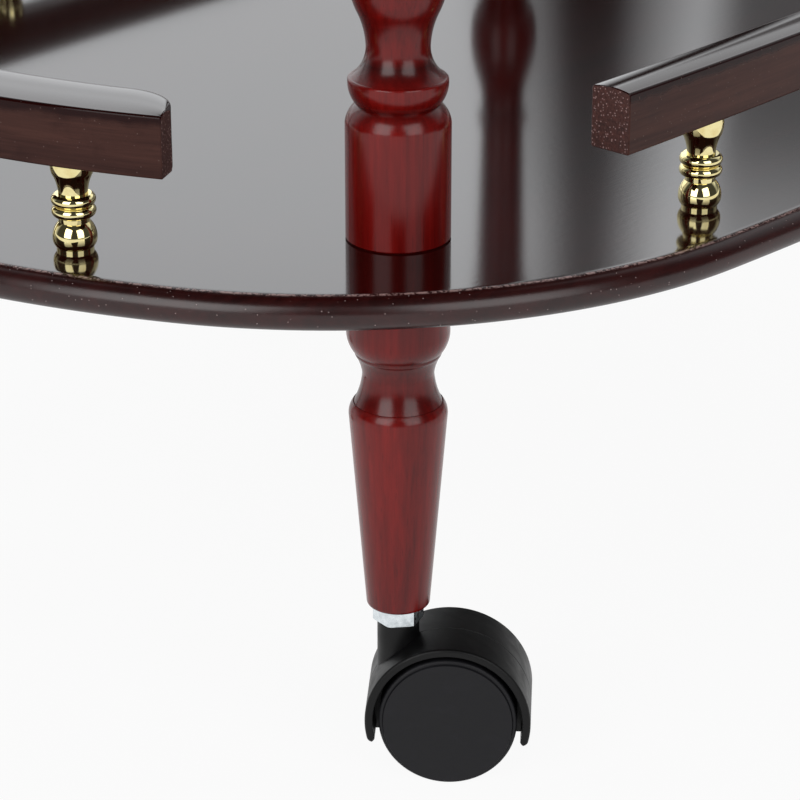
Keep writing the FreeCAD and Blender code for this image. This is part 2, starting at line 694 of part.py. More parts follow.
def wheel(side):
    """Moulded wheel on the left (+1) or right (-1) of the web: face, tread and hub."""
    rim_r = WHEEL_R
    step = WHEEL_FACE_Y - WHEEL_CAP_STEP
    inner_wall = WHEEL_FACE_Y - WHEEL_WALL
    bore_r = AXLE_D / 2 + AXLE_RUNNING_GAP
    drawing = Outline(bore_r, WHEEL_INNER_Y)
    drawing.to(HUB_D / 2, WHEEL_INNER_Y)
    drawing.to(HUB_D / 2, inner_wall)
    drawing.to(rim_r - WHEEL_TREAD, inner_wall)
    drawing.to(rim_r - WHEEL_TREAD, WHEEL_INNER_Y)
    drawing.to(rim_r - WHEEL_ROUND, WHEEL_INNER_Y)
    drawing.bow(rim_r, WHEEL_INNER_Y + WHEEL_ROUND, QUARTER_BOW)
    drawing.to(rim_r, step - WHEEL_ROUND)
    drawing.bow(rim_r - WHEEL_ROUND, step, QUARTER_BOW)
    drawing.to(WHEEL_CAP_D / 2, step)
    drawing.to(WHEEL_CAP_D / 2 - WHEEL_CAP_STEP / 2, WHEEL_FACE_Y)
    drawing.to(0, WHEEL_FACE_Y)
    drawing.to(0, inner_wall)
    drawing.to(bore_r, inner_wall)
    turned = drawing.turned()
    turned.rotate(CENTRE, ALONG_X, -side * QUARTER_TURN)
    turned.translate(V(CASTER_TRAIL, 0, WHEEL_R))
    return turned


# ---------------------------------------------------------------- the whole trolley
def trolley():
    parts = {}
    for tier, bottom in TIERS.items():
        shelf_top = bottom + SHELF_THICK
        parts[tier + "_shelf"] = shelf(bottom)
        parts[tier + "_gallery_screws"] = gallery_screws(bottom)
        for name in RAILS:
            parts[tier + "_" + name + "_rail"] = rail(name, shelf_top)
            parts[tier + "_" + name + "_spindles"] = spindles(name, shelf_top)
    parts["lower_leg_screws"] = leg_screws(LOWER_SHELF_Z, LEG_SCREW_BITE)
    parts["top_leg_screws"] = leg_screws(TOP_SHELF_Z, FINIAL_SCREW_BITE)
    parts["stem_inserts"] = Part.Compound([at_leg(stem_insert(), corner) for corner in CORNERS])
    parts["stem_grip_rings"] = Part.Compound([at_leg(grip_ring(), corner) for corner in CORNERS])
    for corner in CORNERS:
        parts[corner + "_foot"] = at_leg(foot(), corner)
        parts[corner + "_post"] = at_leg(post(), corner)
        parts[corner + "_finial"] = at_leg(finial(), corner)
        parts[corner + "_caster_stem"] = at_leg(stem(), corner)
        parts[corner + "_caster_housing"] = at_caster(housing(), corner)
        parts[corner + "_caster_axle"] = at_caster(axle(), corner)
        parts[corner + "_caster_left_wheel"] = at_caster(wheel(1), corner)
        parts[corner + "_caster_right_wheel"] = at_caster(wheel(-1), corner)
    return parts


os.makedirs("parts", exist_ok=True)
for node, shape in trolley().items():
    shape.exportStep("parts/" + node + ".step")
    if not shape.isValid():
        print("not valid:", node)
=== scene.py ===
"""The finished look of a two-tier serving trolley, laid out as an add-on and run as a script."""

import json
import math

import bmesh
import bpy
import numpy as np
from bpy.props import FloatProperty, FloatVectorProperty, PointerProperty
from bpy.types import Operator, Panel, PropertyGroup
from mathutils import Matrix, Vector, geometry


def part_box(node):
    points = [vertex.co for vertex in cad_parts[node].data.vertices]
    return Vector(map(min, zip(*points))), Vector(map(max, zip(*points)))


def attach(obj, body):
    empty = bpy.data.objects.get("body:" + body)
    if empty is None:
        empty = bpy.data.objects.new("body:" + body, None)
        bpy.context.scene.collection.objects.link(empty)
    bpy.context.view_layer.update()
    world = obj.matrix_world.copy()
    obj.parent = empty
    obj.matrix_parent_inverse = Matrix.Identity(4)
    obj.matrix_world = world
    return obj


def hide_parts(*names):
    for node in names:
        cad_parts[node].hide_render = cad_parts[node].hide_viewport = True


bl_info = {
    "name": "Serving trolley",
    "version": (1, 0, 0),
    "blender": (4, 5, 0),
    "location": "3D View > Sidebar > Trolley",
    "description": "Finishes a serving trolley's shelves, gallery, legs and casters and sets its stage",
    "category": "Object",
}

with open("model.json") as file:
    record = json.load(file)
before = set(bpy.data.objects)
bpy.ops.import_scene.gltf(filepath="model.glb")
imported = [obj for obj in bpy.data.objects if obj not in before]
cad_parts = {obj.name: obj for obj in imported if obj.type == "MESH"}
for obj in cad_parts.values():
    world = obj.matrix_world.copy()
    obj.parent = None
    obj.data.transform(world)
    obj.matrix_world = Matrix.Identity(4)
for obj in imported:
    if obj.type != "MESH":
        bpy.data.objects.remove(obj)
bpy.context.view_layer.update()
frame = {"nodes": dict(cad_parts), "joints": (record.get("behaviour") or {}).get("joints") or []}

# Sizes are in metres and angles in degrees. _D is a diameter, _R a radius, _H a height along the piece.
MM = 0.001
TIERS = ("lower", "top")
END_RAILS = ("left", "right")
RAILS = {"front": -90.0, "rear": 90.0, "left": 180.0, "right": 0.0}     # the bearing each rail faces
CORNERS = ("front_left", "front_right", "rear_left", "rear_right")
NEAR_CORNER = "front_left"
FIXED_BODY = "frame"
FINISH_MARK = "_finish"       # sets these materials' names apart from the frame's plain ones

# ---------------------------------------------------------------- shelves
SHELF_LENGTH = 730.0 * MM
SHELF_WIDTH = 530.0 * MM
SHELF_THICK = 12.4 * MM
END_ARC = 348.0 * MM
CORNER_ARC = 197.0 * MM
SIDE_ARC = 1739.0 * MM
EDGE_R = SHELF_THICK / 2
LEVEL_STRIP = 1.5 * MM        # level strip between the half-round edge and the shelf's face
WORN_HIGHLIGHT_FROM = 0.985           # shares of the thickness between which the edge is rubbed thin and carries a painted highlight
WORN_HIGHLIGHT_TO = 0.999

# ---------------------------------------------------------------- legs
LEG_D = 36.2 * MM
ARRIS = 0.6 * MM
LEG_SEGMENTS = 112
GROOVE_REACH = 6.0 * MM       # how near a bulge makes a groove look deep and darkens it with painted shade

POST_HEIGHT = 488.0 * MM
POST_BLOCK_H = 41.3 * MM
POST_SHOULDER_H = 6.5 * MM
POST_GROOVE_D = 28.6 * MM
POST_RING_D = 34.2 * MM
POST_RING_H = 8.5 * MM
POST_LIP = 0.9 * MM
POST_COVE_H = 12.0 * MM
POST_WAIST_D = 22.0 * MM
POST_FLARE_D = 28.6 * MM
POST_FLARE_H = 11.3 * MM
POST_VASE_D = 35.0 * MM
POST_VASE_H = 15.5 * MM
POST_FALL_D = 27.2 * MM
POST_FALL_H = 26.0 * MM
POST_THROAT_D = 22.0 * MM
POST_THROAT_H = 19.0 * MM
POST_BEAD_D = 28.0 * MM
POST_BEAD_H = 6.0 * MM
POST_SHAFT_D = 26.0 * MM      # at the middle of the post
MIDDLE_RING_D = 31.0 * MM
MIDDLE_RING_H = 8.0 * MM

FOOT_TIP_D = 22.9 * MM
FOOT_TIP_ROUND = 1.5 * MM
FOOT_TAPER_H = 72.5 * MM
FOOT_SHOULDER_D = 34.8 * MM
FOOT_SHOULDER_H = 5.2 * MM
FOOT_LINE_D = 31.8 * MM
FOOT_LINE_STEP = 0.35 * MM
FOOT_FLARE_H = 10.7 * MM
FOOT_WAIST_D = 25.2 * MM
FOOT_COVE_H = 6.6 * MM
FOOT_FILLET_D = 29.4 * MM
FOOT_FILLET_H = 1.6 * MM
FOOT_BEAD_FOOT_D = 30.6 * MM
FOOT_BEAD_H = 8.9 * MM
FOOT_BLOCK_H = 20.6 * MM

FINIAL_BLOCK_H = 10.0 * MM
FINIAL_SHOULDER_H = 5.0 * MM
FINIAL_NECK_D = 17.0 * MM
FINIAL_NECK_H = 3.0 * MM
FINIAL_BALL_D = 27.0 * MM

# ---------------------------------------------------------------- gallery
RAIL_HEIGHT = 22.5 * MM
RAIL_CROWN = 0.8 * MM
RAIL_ARRIS = 1.0 * MM
RAIL_RISE = 33.0 * MM         # shelf to underside of rail
RAIL_END_EASE = 0.35 * MM     # eased edge round a rail's sawn end
RAIL_GLOSS_H = 4.6 * MM       # glossy strip below a rail's top edge, its colour darkened as painted shade
RAIL_WOOD_APART = 0.07        # keeps the grain of the four rails different

END_RAIL_WIDTH = 27.0 * MM
END_RAIL_INSET = 29.0 * MM    # rail's centreline in from the shelf's edge, at the rail's middle
END_RAIL_GAP = 41.5 * MM      # along Y, from the leg's axis to the end of the centreline
END_RAIL_CORNER = 22.0 * MM
END_RAIL_SPINDLES = 3
END_SETBACK = 38.5 * MM

SIDE_RAIL_WIDTH = 16.5 * MM
SIDE_RAIL_INSET = 35.4 * MM
SIDE_RAIL_GAP = 39.0 * MM     # along X, from the leg's axis to the end of the centreline
SIDE_RAIL_ARC = 3150.0 * MM
SIDE_RAIL_SPINDLES = 4
SIDE_SETBACK = 52.0 * MM

SPINDLE_D = 15.3 * MM
SPINDLE_BASE_D = 12.8 * MM
SPINDLE_BASE_H = 1.0 * MM
SPINDLE_BELLY_H = 3.2 * MM
SPINDLE_TAPER_H = 5.8 * MM
SPINDLE_NECK_D = 10.8 * MM
SPINDLE_NECK_H = 1.8 * MM
SPINDLE_BEAD_H = 4.0 * MM
SPINDLE_BEAD_ROOT_D = 12.4 * MM
SPINDLE_THROAT_D = 10.2 * MM
SPINDLE_THROAT_H = 1.0 * MM
SPINDLE_FLARE_D = 14.2 * MM   # where the cup's fast widening ends
SPINDLE_FLARE_H = 6.4 * MM
SPINDLE_CUP_D = 15.0 * MM
SPINDLE_LIP_H = 0.8 * MM
SPINDLE_SEGMENTS = 96

# ---------------------------------------------------------------- holes for the screws
SCREW_HOLE_D = 4.3 * MM
SCREW_SINK_D = 8.3 * MM
LEG_HOLE_D = 8.6 * MM
LEG_SCREW_D = 8.0 * MM
LEG_SCREW_DEPTH = 31.0 * MM
FINIAL_SCREW_DEPTH = 21.0 * MM
INSERT_D = 14.0 * MM
INSERT_DEPTH = 18.0 * MM
THREAD_D = 10.0 * MM
THREAD_DEPTH = 23.0 * MM
HOLE_SEGMENTS = 28
DROP_HOLES = 2                # the fill's kind of output that leaves holes open
FILL_TOLERANCE = 1e-7

# ---------------------------------------------------------------- casters
CASTER_HEIGHT = 65.0 * MM
WHEEL_D = 50.0 * MM
WHEEL_WIDTH = 11.4 * MM
WHEEL_WALL = 2.0 * MM
WHEEL_TREAD = 3.0 * MM
WHEEL_CAP_D = 47.4 * MM
WHEEL_CAP_STEP = 0.8 * MM
WHEEL_ROUND = 1.0 * MM
WHEEL_SEGMENTS = 144
HUB_D = 11.0 * MM
AXLE_BORE_D = 5.1 * MM
HOOD_GAP = 2.1 * MM
HOOD_WALL = 2.9 * MM
HOOD_WIDTH = 35.0 * MM
HOOD_DROP = 6.6 * MM
HOOD_ROUND = 1.1 * MM
HOOD_INNER_EASE = 0.3 * MM
HOOD_STEPS = 120
TIP_STEPS = 7
TIP_TURN = 84.0               # how far the hood's tips are rounded
HOUSING_CREASE = 30.0
PARTING_WIDTH = 0.5 * MM
PARTING_DEPTH = 0.35 * MM
WHEEL_FACE_INSET = 0.5 * MM
WEB_GAP = 0.4 * MM
WEB_DROP = 9.0 * MM
NECK_D = 15.2 * MM
NECK_EASE = 0.4 * MM
NECK_TOP = 58.4 * MM
PIN_BORE_D = 6.1 * MM
PIN_BORE_BOTTOM = 35.7 * MM
COLLAR_FLATS = 16.0 * MM
COLLAR_H = 6.3 * MM
COLLAR_CHAMFER = 0.7 * MM
COLLAR_EASE = 0.15 * MM
COLLAR_TURN = 16.0            # bearing of one corner of the collar
COLLAR_SIDES = 6
STEM_SEGMENTS = 96
STEM_THREAD_LENGTH = 22.0 * MM
STEM_PIN_D = 6.0 * MM
STEM_PIN_LENGTH = 22.0 * MM
GRIP_GROOVE_DEPTH = 0.6 * MM
GRIP_GROOVE_H = 1.0 * MM
GRIP_GROOVE_UP = 5.0 * MM     # from the pin's end

# ---------------------------------------------------------------- the view, in pixels, degrees and metres
FRAME_PIXELS = 800.0
LEG_PIXEL_X = 398.1           # the near leg's axis
FOCAL_PIXELS = 3000.0
VIEW_BEARING = 51.1           # the view's heading, turned from +Y towards +X
VIEW_PITCH = 23.0
EYE_DISTANCE = 968.0 * MM     # level distance from the near leg's axis
EYE_HEIGHT = 555.0 * MM
SENSOR_WIDTH = 36.0           # millimetres, the camera's own unit

# ---------------------------------------------------------------- the stage
CLIP_START = 50.0 * MM
FLOOR_REACH = 12.0
FLOOR_GLOW = 0.93
FLOOR_ROUGHNESS = 0.9
WHITE = (1.0, 1.0, 1.0, 1.0)
COOL_WHITE = (0.96, 0.98, 1.0, 1.0)
UP = (0.0, 0.0, 1.0)

# Levels of the surroundings' light. "Ahead" is the cosine of a ray's angle from the level view.
NEAR_SIDE = 0.06              # behind and beside the camera
NEAR_AND_FAR = (0.1, 0.7)     # ahead: where the near side's level ends and the far side's starts
FAR_LEVELS = (1.42, 1.78)     # on the far side, at the lower and the upper end of GAP_RISE
LEAST_AHEAD = 0.05            # keeps the sideways tangent finite

# Two dark gaps in the far side, which the shelf's lacquer mirrors. Places and widths are tangents of
# bearings to the right of the view, rises are sines of elevations.
GAPS_AHEAD = (0.2, 0.5)       # ahead: where the gaps set in
GAP_PLACE = 0.0665
GAP_RISE = (0.26, 0.34)
GAP_WIDTHS = (0.048, 0.026)   # half widths at the ends of GAP_RISE
GAP_DEPTHS = (1.0, 0.9)
GAP_CORE = 0.20               # share of the half width that is fully dark
FLAG_EDGE = (0.100, 0.118)    # bearings between which the wide gap sets in
FLAG_RISE = (0.305, 0.345)
FLAG_DEPTHS = (0.85, 0.3)

BOX_SIDE = 1.05               # soft boxes: to each side of the near leg, towards the camera from it,
BOX_BACK = 1.5                # and above the lower shelf
BOX_HEIGHT = 0.80
BOX_WIDTH = 1.25
BOX_LENGTH = 1.5

# ---------------------------------------------------------------- finishes, scales per metre
EVEN = (1.0, 1.0, 1.0)
SPECK_CORE = 0.6              # share of a speck's radius that is fully marked
NOISE_CORE = (0.35, 0.65)     # most of a noise's values lie between these
WIDE_NOISE = (0.3, 0.7)

ALONG_GRAIN = (0.05, 1.0, 1.0)
FIGURE_SCALE = 55.0           # broad figure of the wood
FIGURE_SHARE = 0.55           # the fine streaks have the rest
STREAK_SCALE = 420.0
PORE_SCALE = 1500.0
PORE_SPAN = (0.62, 0.72)
PORE_DEPTH = 0.55
PEEL_SCALE = 450.0            # ripple of the sprayed coat

TOP_COAT = 1.0                # weight of the clear coat on the shelves' faces and edges
EDGE_COAT = 0.7
TOP_RIPPLE = 0.0028 * MM
EDGE_RIPPLE = 0.010 * MM
TOP_DUST_SIZE = 0.02
EDGE_DUST_SIZE = 0.10
DUST_SCALE = 420.0
DUST_RISE = 0.03 * MM
SHELF_DUST = (0.30, 0.24, 0.23, 1.0)
WORN_HIGHLIGHT_BREAK_SCALE = 700.0             # breaks in the rubbed line and its painted highlight
WORN_HIGHLIGHT_BREAK_SPAN = (0.44, 0.56)

RAIL_ROUGHNESS = (0.38, 0.1)  # rubbed and glossy
RAIL_RIPPLE = 0.006 * MM
GLOSS_SPAN = (0.05, 0.5)
WANDER_SCALE = 90.0           # wandering of the glossy strip's lower edge
WANDER_REACH = (-0.2, 0.2)
PIT_SCALE = 420.0
PIT_SIZE = 0.12
PIT_SHARE = 0.6
PIT_RISE = 0.03 * MM
PIT_COLOUR = (0.13, 0.08, 0.07, 1.0)
RAIL_TOP_PEEL = 0.005 * MM
RAIL_TOP_PORES = 0.004 * MM
RAIL_DUST_SCALE = 260.0
RAIL_DUST_SIZE = 0.05
RAIL_DUST = (0.16, 0.13, 0.12, 1.0)

VESSEL_SCALE = 1100.0         # open pores of the sawn ends
VESSEL_SPAN = (0.4, 0.66)
VESSEL_SHARE = 0.7
VESSEL_RISE = 0.10 * MM
RING_SCALE = 260.0
RING_STRETCH = (0.3, 0.25, 1.0)
RING_SHARE = 0.3
SPARKLE_SCALE = 900.0
SPARKLE_SIZE = 0.28
SPARKLE_SHARE = 0.5
SPARKLE_COLOUR = (0.60, 0.40, 0.38, 1.0)
END_ROUGHNESS = (0.7, 0.35)

LEG_PEEL = 0.006 * MM
FLECK_SCALE = 800.0
FLECK_STRETCH = (0.35, 1.0, 1.0)
FLECK_RISE = 0.018 * MM

BLOOM_SCALE = 260.0           # cloudy patches on the brass
BLOOM_SPAN = (0.35, 0.7)
TARNISH_SPAN = (0.45, 0.75)
BRASS_ROUGHNESS = (0.02, 0.07)
LINE_SCALE = 5200.0           # fine lines left by turning
LINE_RISE = 0.0008 * MM
TURNED_STRETCH = (0.05, 0.05, 1.0)
PATCH_SCALE = 420.0
DULL_SPAN = (0.42, 0.7)
ZINC_ROUGHNESS = (0.2, 0.36)
GRIT_SCALE = 5200.0
GRIT_RISE = 0.002 * MM

NYLON_ROUGHNESS = (0.37, 0.52)
NYLON_TEXTURE = 0.010 * MM
WHEEL_ROUGHNESS = (0.43, 0.58)
WHEEL_TEXTURE = 0.007 * MM
SPARK_SCALE = 2200.0          # the mould's spark-eroded texture
SCUFF_SCALE = 130.0
SCUFF_STRETCH = (1.0, 0.4, 1.0)
SCUFF_SPAN = (0.5, 0.75)
SCUFF_PALENESS = 1.5

# ---------------------------------------------------------------- worked out from the above
HALF_TURN = 180.0
QUARTER_TURN = 90.0
QUARTER_BOW = (math.sqrt(2) - 1) / 2
HALF_BOW = 0.5
SOFT_BOW = 0.1                # rise of a gentle arc, as a share of its chord
FLAT_BOW = 0.05
COVE_BOW = 0.14
BOW_CUTS = 10
CORNER_CUTS = 24              # steps round an end rail's rounded corner
EDGE_CUTS = 20
CREASE = 22.0                 # sharper edges than this stay crisp
RUN_STEP = 5.0 * MM           # spacing of the rings along shelves and rails

FOOT_HEIGHT = (FOOT_TIP_ROUND + FOOT_TAPER_H + FOOT_SHOULDER_H + FOOT_FLARE_H + FOOT_COVE_H
               + FOOT_FILLET_H + FOOT_BEAD_H + FOOT_BLOCK_H)
SHELF_Z = {tier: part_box(tier + "_shelf")[0][2] for tier in TIERS}
POST_Z = SHELF_Z["lower"] + SHELF_THICK
FINIAL_Z = SHELF_Z["top"] + SHELF_THICK
WHEEL_R = WHEEL_D / 2
HOOD_R = WHEEL_R + HOOD_GAP + HOOD_WALL
WHEEL_FACE_Y = HOOD_WIDTH / 2 - WHEEL_FACE_INSET
WHEEL_INNER_Y = WHEEL_FACE_Y - WHEEL_WIDTH
WEB_HALF_WIDTH = WHEEL_INNER_Y - WEB_GAP


# ---------------------------------------------------------------- what a user would change
def colour(name, description, red, green, blue):
    return FloatVectorProperty(name=name, description=description, subtype="COLOR", size=4,
                               min=0.0, max=1.0, default=(red, green, blue, 1.0))


def share(name, description, default, top=1.0):
    return FloatProperty(name=name, description=description, subtype="FACTOR",
                         min=0.0, max=top, default=default)


class TrolleyWood(PropertyGroup):
    shelf_dark: colour("Shelf, dark grain", "Stain in the shelves' dark grain", 0.010, 0.0008, 0.0007)
    shelf_light: colour("Shelf, light grain", "Stain in the shelves' light grain", 0.024, 0.0026, 0.0020)
    edge_dark: colour("Edge, dark grain", "Stain in the edges' dark grain", 0.012, 0.0008, 0.0007)
    edge_light: colour("Edge, light grain", "Stain in the edges' light grain", 0.036, 0.0040, 0.0034)
    # The pale line along the shelves' top arris is partly real wear and partly a painted highlight.
    shelf_arris_wear_and_highlight: colour("Shelf, worn edge", "Bare wood where the edge is rubbed thin", 0.46, 0.30, 0.28)
    rail_dark: colour("Rail, dark grain", "Stain in the dark grain of the rails", 0.026, 0.0075, 0.0056)
    rail_light: colour("Rail, light grain", "Stain in the light grain of the rails", 0.070, 0.026, 0.019)
    rail_end: colour("Rail, end grain", "Stain on the sawn ends of the rails", 0.085, 0.024, 0.018)
    # Painted shade: the glossy strip under a rail's top is darkened to stand for the dark reflection it
    # shows.
    rail_strip_shade: colour("Rail, glossy strip", "Stain under the rails' glossy top", 0.014, 0.0012, 0.0010)
    leg_dark: colour("Leg, dark grain", "Stain in the dark grain of the legs", 0.070, 0.0010, 0.0008)
    leg_light: colour("Leg, light grain", "Stain in the light grain of the legs", 0.200, 0.0050, 0.0035)
    # Painted shade: the turned grooves are darkened by how deep they lie.
    leg_groove_shade: colour("Leg, grooves", "Stain gathered in the turned grooves", 0.022, 0.0008, 0.0007)
    shelf_gloss: share("Shelf gloss", "Roughness of the shelves' clear coat", 0.08)
    edge_gloss: share("Shelf edge gloss", "Roughness of the clear coat on the shelves' edges", 0.27)
    leg_gloss: share("Leg gloss", "Roughness of the legs' clear coat", 0.22)


class TrolleyMetal(PropertyGroup):
    brass: colour("Brass", "Polished spindles", 0.86, 0.76, 0.40)
    brass_dark: colour("Brass, tarnished", "Faint tarnish on the spindles", 0.74, 0.60, 0.27)
    zinc: colour("Zinc", "Plated steel of stems, screws and axles", 0.78, 0.83, 0.86)
    zinc_dark: colour("Zinc, dull", "Dull patches of the plating", 0.60, 0.65, 0.68)


class TrolleyCaster(PropertyGroup):
    nylon: colour("Nylon", "Moulded caster housing", 0.0026, 0.0026, 0.0028)
    wheel: colour("Wheel", "Moulded wheels", 0.0090, 0.0088, 0.0105)


class TrolleyStage(PropertyGroup):
    floor: colour("Floor", "Pale floor", 0.90, 0.90, 0.90)
    lens: FloatProperty(name="Lens", description="Focal length of the camera", unit="CAMERA",
                        default=FOCAL_PIXELS * SENSOR_WIDTH / FRAME_PIXELS)
    key_power: FloatProperty(name="Key light", description="Power of the key light", unit="POWER",
                             default=21.0)
    fill_power: FloatProperty(name="Fill light", description="Power of the fill light", unit="POWER",
                              default=16.0)


# ---------------------------------------------------------------- the plan's curves
def polar(centre, radius, bearing):
    angle = math.radians(bearing)
    return np.array((centre[0] + radius * math.cos(angle), centre[1] + radius * math.sin(angle)))


def bearing_of(start, end):
    return math.degrees(math.atan2(end[1] - start[1], end[0] - start[0]))


def outline_centres():
    """Centres of the end, corner and side arcs of the +X +Y quarter, each arc tangent to the next."""
    end = np.array((SHELF_LENGTH / 2 - END_ARC, 0.0))
    side = np.array((0.0, SHELF_WIDTH / 2 - SIDE_ARC))
    to_end = END_ARC - CORNER_ARC
    to_side = SIDE_ARC - CORNER_ARC
    apart = np.linalg.norm(side - end)
    along = (to_end ** 2 - to_side ** 2 + apart ** 2) / (2 * apart)
    across = math.sqrt(to_end ** 2 - along ** 2)
    line = (side - end) / apart
    return end, end + line * along + np.array((-line[1], line[0])) * across, side


END_CENTRE, CORNER_CENTRE, SIDE_CENTRE = outline_centres()
CORNER_START = bearing_of(END_CENTRE, CORNER_CENTRE)
CORNER_END = bearing_of(SIDE_CENTRE, CORNER_CENTRE)


def quarter_arcs(inset):
    """Centre, radius, first and last bearing of a quarter's arcs, from the end's middle to the side's."""
    return [
        (END_CENTRE, END_ARC - inset, 0.0, CORNER_START),
        (CORNER_CENTRE, CORNER_ARC - inset, CORNER_START, CORNER_END),
        (SIDE_CENTRE, SIDE_ARC - inset, CORNER_END, QUARTER_TURN),
    ]


def arc_length(arc):
    _, radius, first, last = arc
    return radius * math.radians(last - first)


# ---------------------------------------------------------------- places taken from the frame
def joint_place(name):
    joint = next(joint for joint in frame["joints"] if joint["name"] == name)
    return Vector(joint["pos_m"])


def leg_place(corner):
    """Foot of a leg's axis, on the floor."""
    swivel = joint_place(corner + "_swivel")
    return Vector((swivel.x, swivel.y, 0.0))


def caster_place(corner):
    """Turns and moves a caster's piece, drawn trailing along +X from its stem, to its leg."""
    leg = leg_place(corner)
    trail = joint_place(corner + "_left_wheel_roll") - leg
    return Matrix.Translation(leg) @ Matrix.Rotation(math.atan2(trail.y, trail.x), 4, "Z")


def caster_trail(corner):
    """Level distance from a caster's stem to its axle."""
    trail = joint_place(corner + "_left_wheel_roll") - leg_place(corner)
    return math.hypot(trail.x, trail.y)


# ---------------------------------------------------------------- gallery layout
def rail_line(rail):
    """Centre's X, radius and half sweep of a rail's centreline, as it is drawn facing +X."""
    leg = leg_place("rear_right")
    if rail in END_RAILS:
        middle = SHELF_LENGTH / 2 - END_RAIL_INSET
        radius = END_ARC - END_RAIL_INSET
        reach = leg.y - END_RAIL_GAP
    else:
        middle = SHELF_WIDTH / 2 - SIDE_RAIL_INSET
        radius = SIDE_RAIL_ARC
        reach = leg.x - SIDE_RAIL_GAP
    return middle - radius, radius, math.asin(reach / radius)


def gallery_place(rail, angle):
    """Point on a rail's centreline and its outward direction, at this angle from the rail's middle."""
    centre, radius, _ = rail_line(rail)
    drawn = polar((centre, 0.0), radius, math.degrees(angle))
    facing = RAILS[rail]
    point = polar((0.0, 0.0), math.hypot(*drawn), bearing_of((0.0, 0.0), drawn) + facing)
    return point, polar((0.0, 0.0), 1.0, math.degrees(angle) + facing)


def spindle_places(rail):
    """Centres of a rail's spindles, evenly spaced between its outermost two."""
    _, radius, sweep = rail_line(rail)
    count = END_RAIL_SPINDLES if rail in END_RAILS else SIDE_RAIL_SPINDLES
    half = sweep - (END_SETBACK if rail in END_RAILS else SIDE_SETBACK) / radius
    return [gallery_place(rail, half * (2 * number / (count - 1) - 1))[0] for number in range(count)]


# ---------------------------------------------------------------- outlines and meshes
class Outline:
    """Points of a section, or of a turned shape's half section, from straight steps and arcs."""

    def __init__(self, x, z):
        self.points = [(x, z)]

    def to(self, x, z, cuts=1):
        """Straight to a point, if it isn't there already."""
        x0, z0 = self.points[-1]
        if math.hypot(x - x0, z - z0) > 0:
            for cut in range(1, cuts + 1):
                self.points.append((x0 + (x - x0) * cut / cuts, z0 + (z - z0) * cut / cuts))

    def line(self, *places):
        """Straight through these points."""
        for x, z in places:
            self.to(x, z)

    def bow(self, x, z, share, cuts=BOW_CUTS):
        """An arc that stands out from its chord by this share of it, to the right of its direction."""
        x0, z0 = self.points[-1]
        chord = math.hypot(x - x0, z - z0)
        half_angle = 2 * math.atan(2 * share)
        radius = chord / 2 / math.sin(half_angle)
        along = np.array((x - x0, z - z0)) / chord
        right = np.array((along[1], -along[0]))
        centre = np.array((x + x0, z + z0)) / 2 - right * radius * math.cos(half_angle)
        for cut in range(1, cuts + 1):
            angle = half_angle * (2 * cut / cuts - 1)
            point = centre + (right * math.cos(angle) + along * math.sin(angle)) * radius
            self.points.append((float(point[0]), float(point[1])))

    def climb(self, height, *steps):
        """Arcs up from this height, each given as its rise, the diameter at its end and its bow."""
        for rise, diameter, share in steps:
            height += rise
            self.bow(diameter / 2, height, share)
        return height


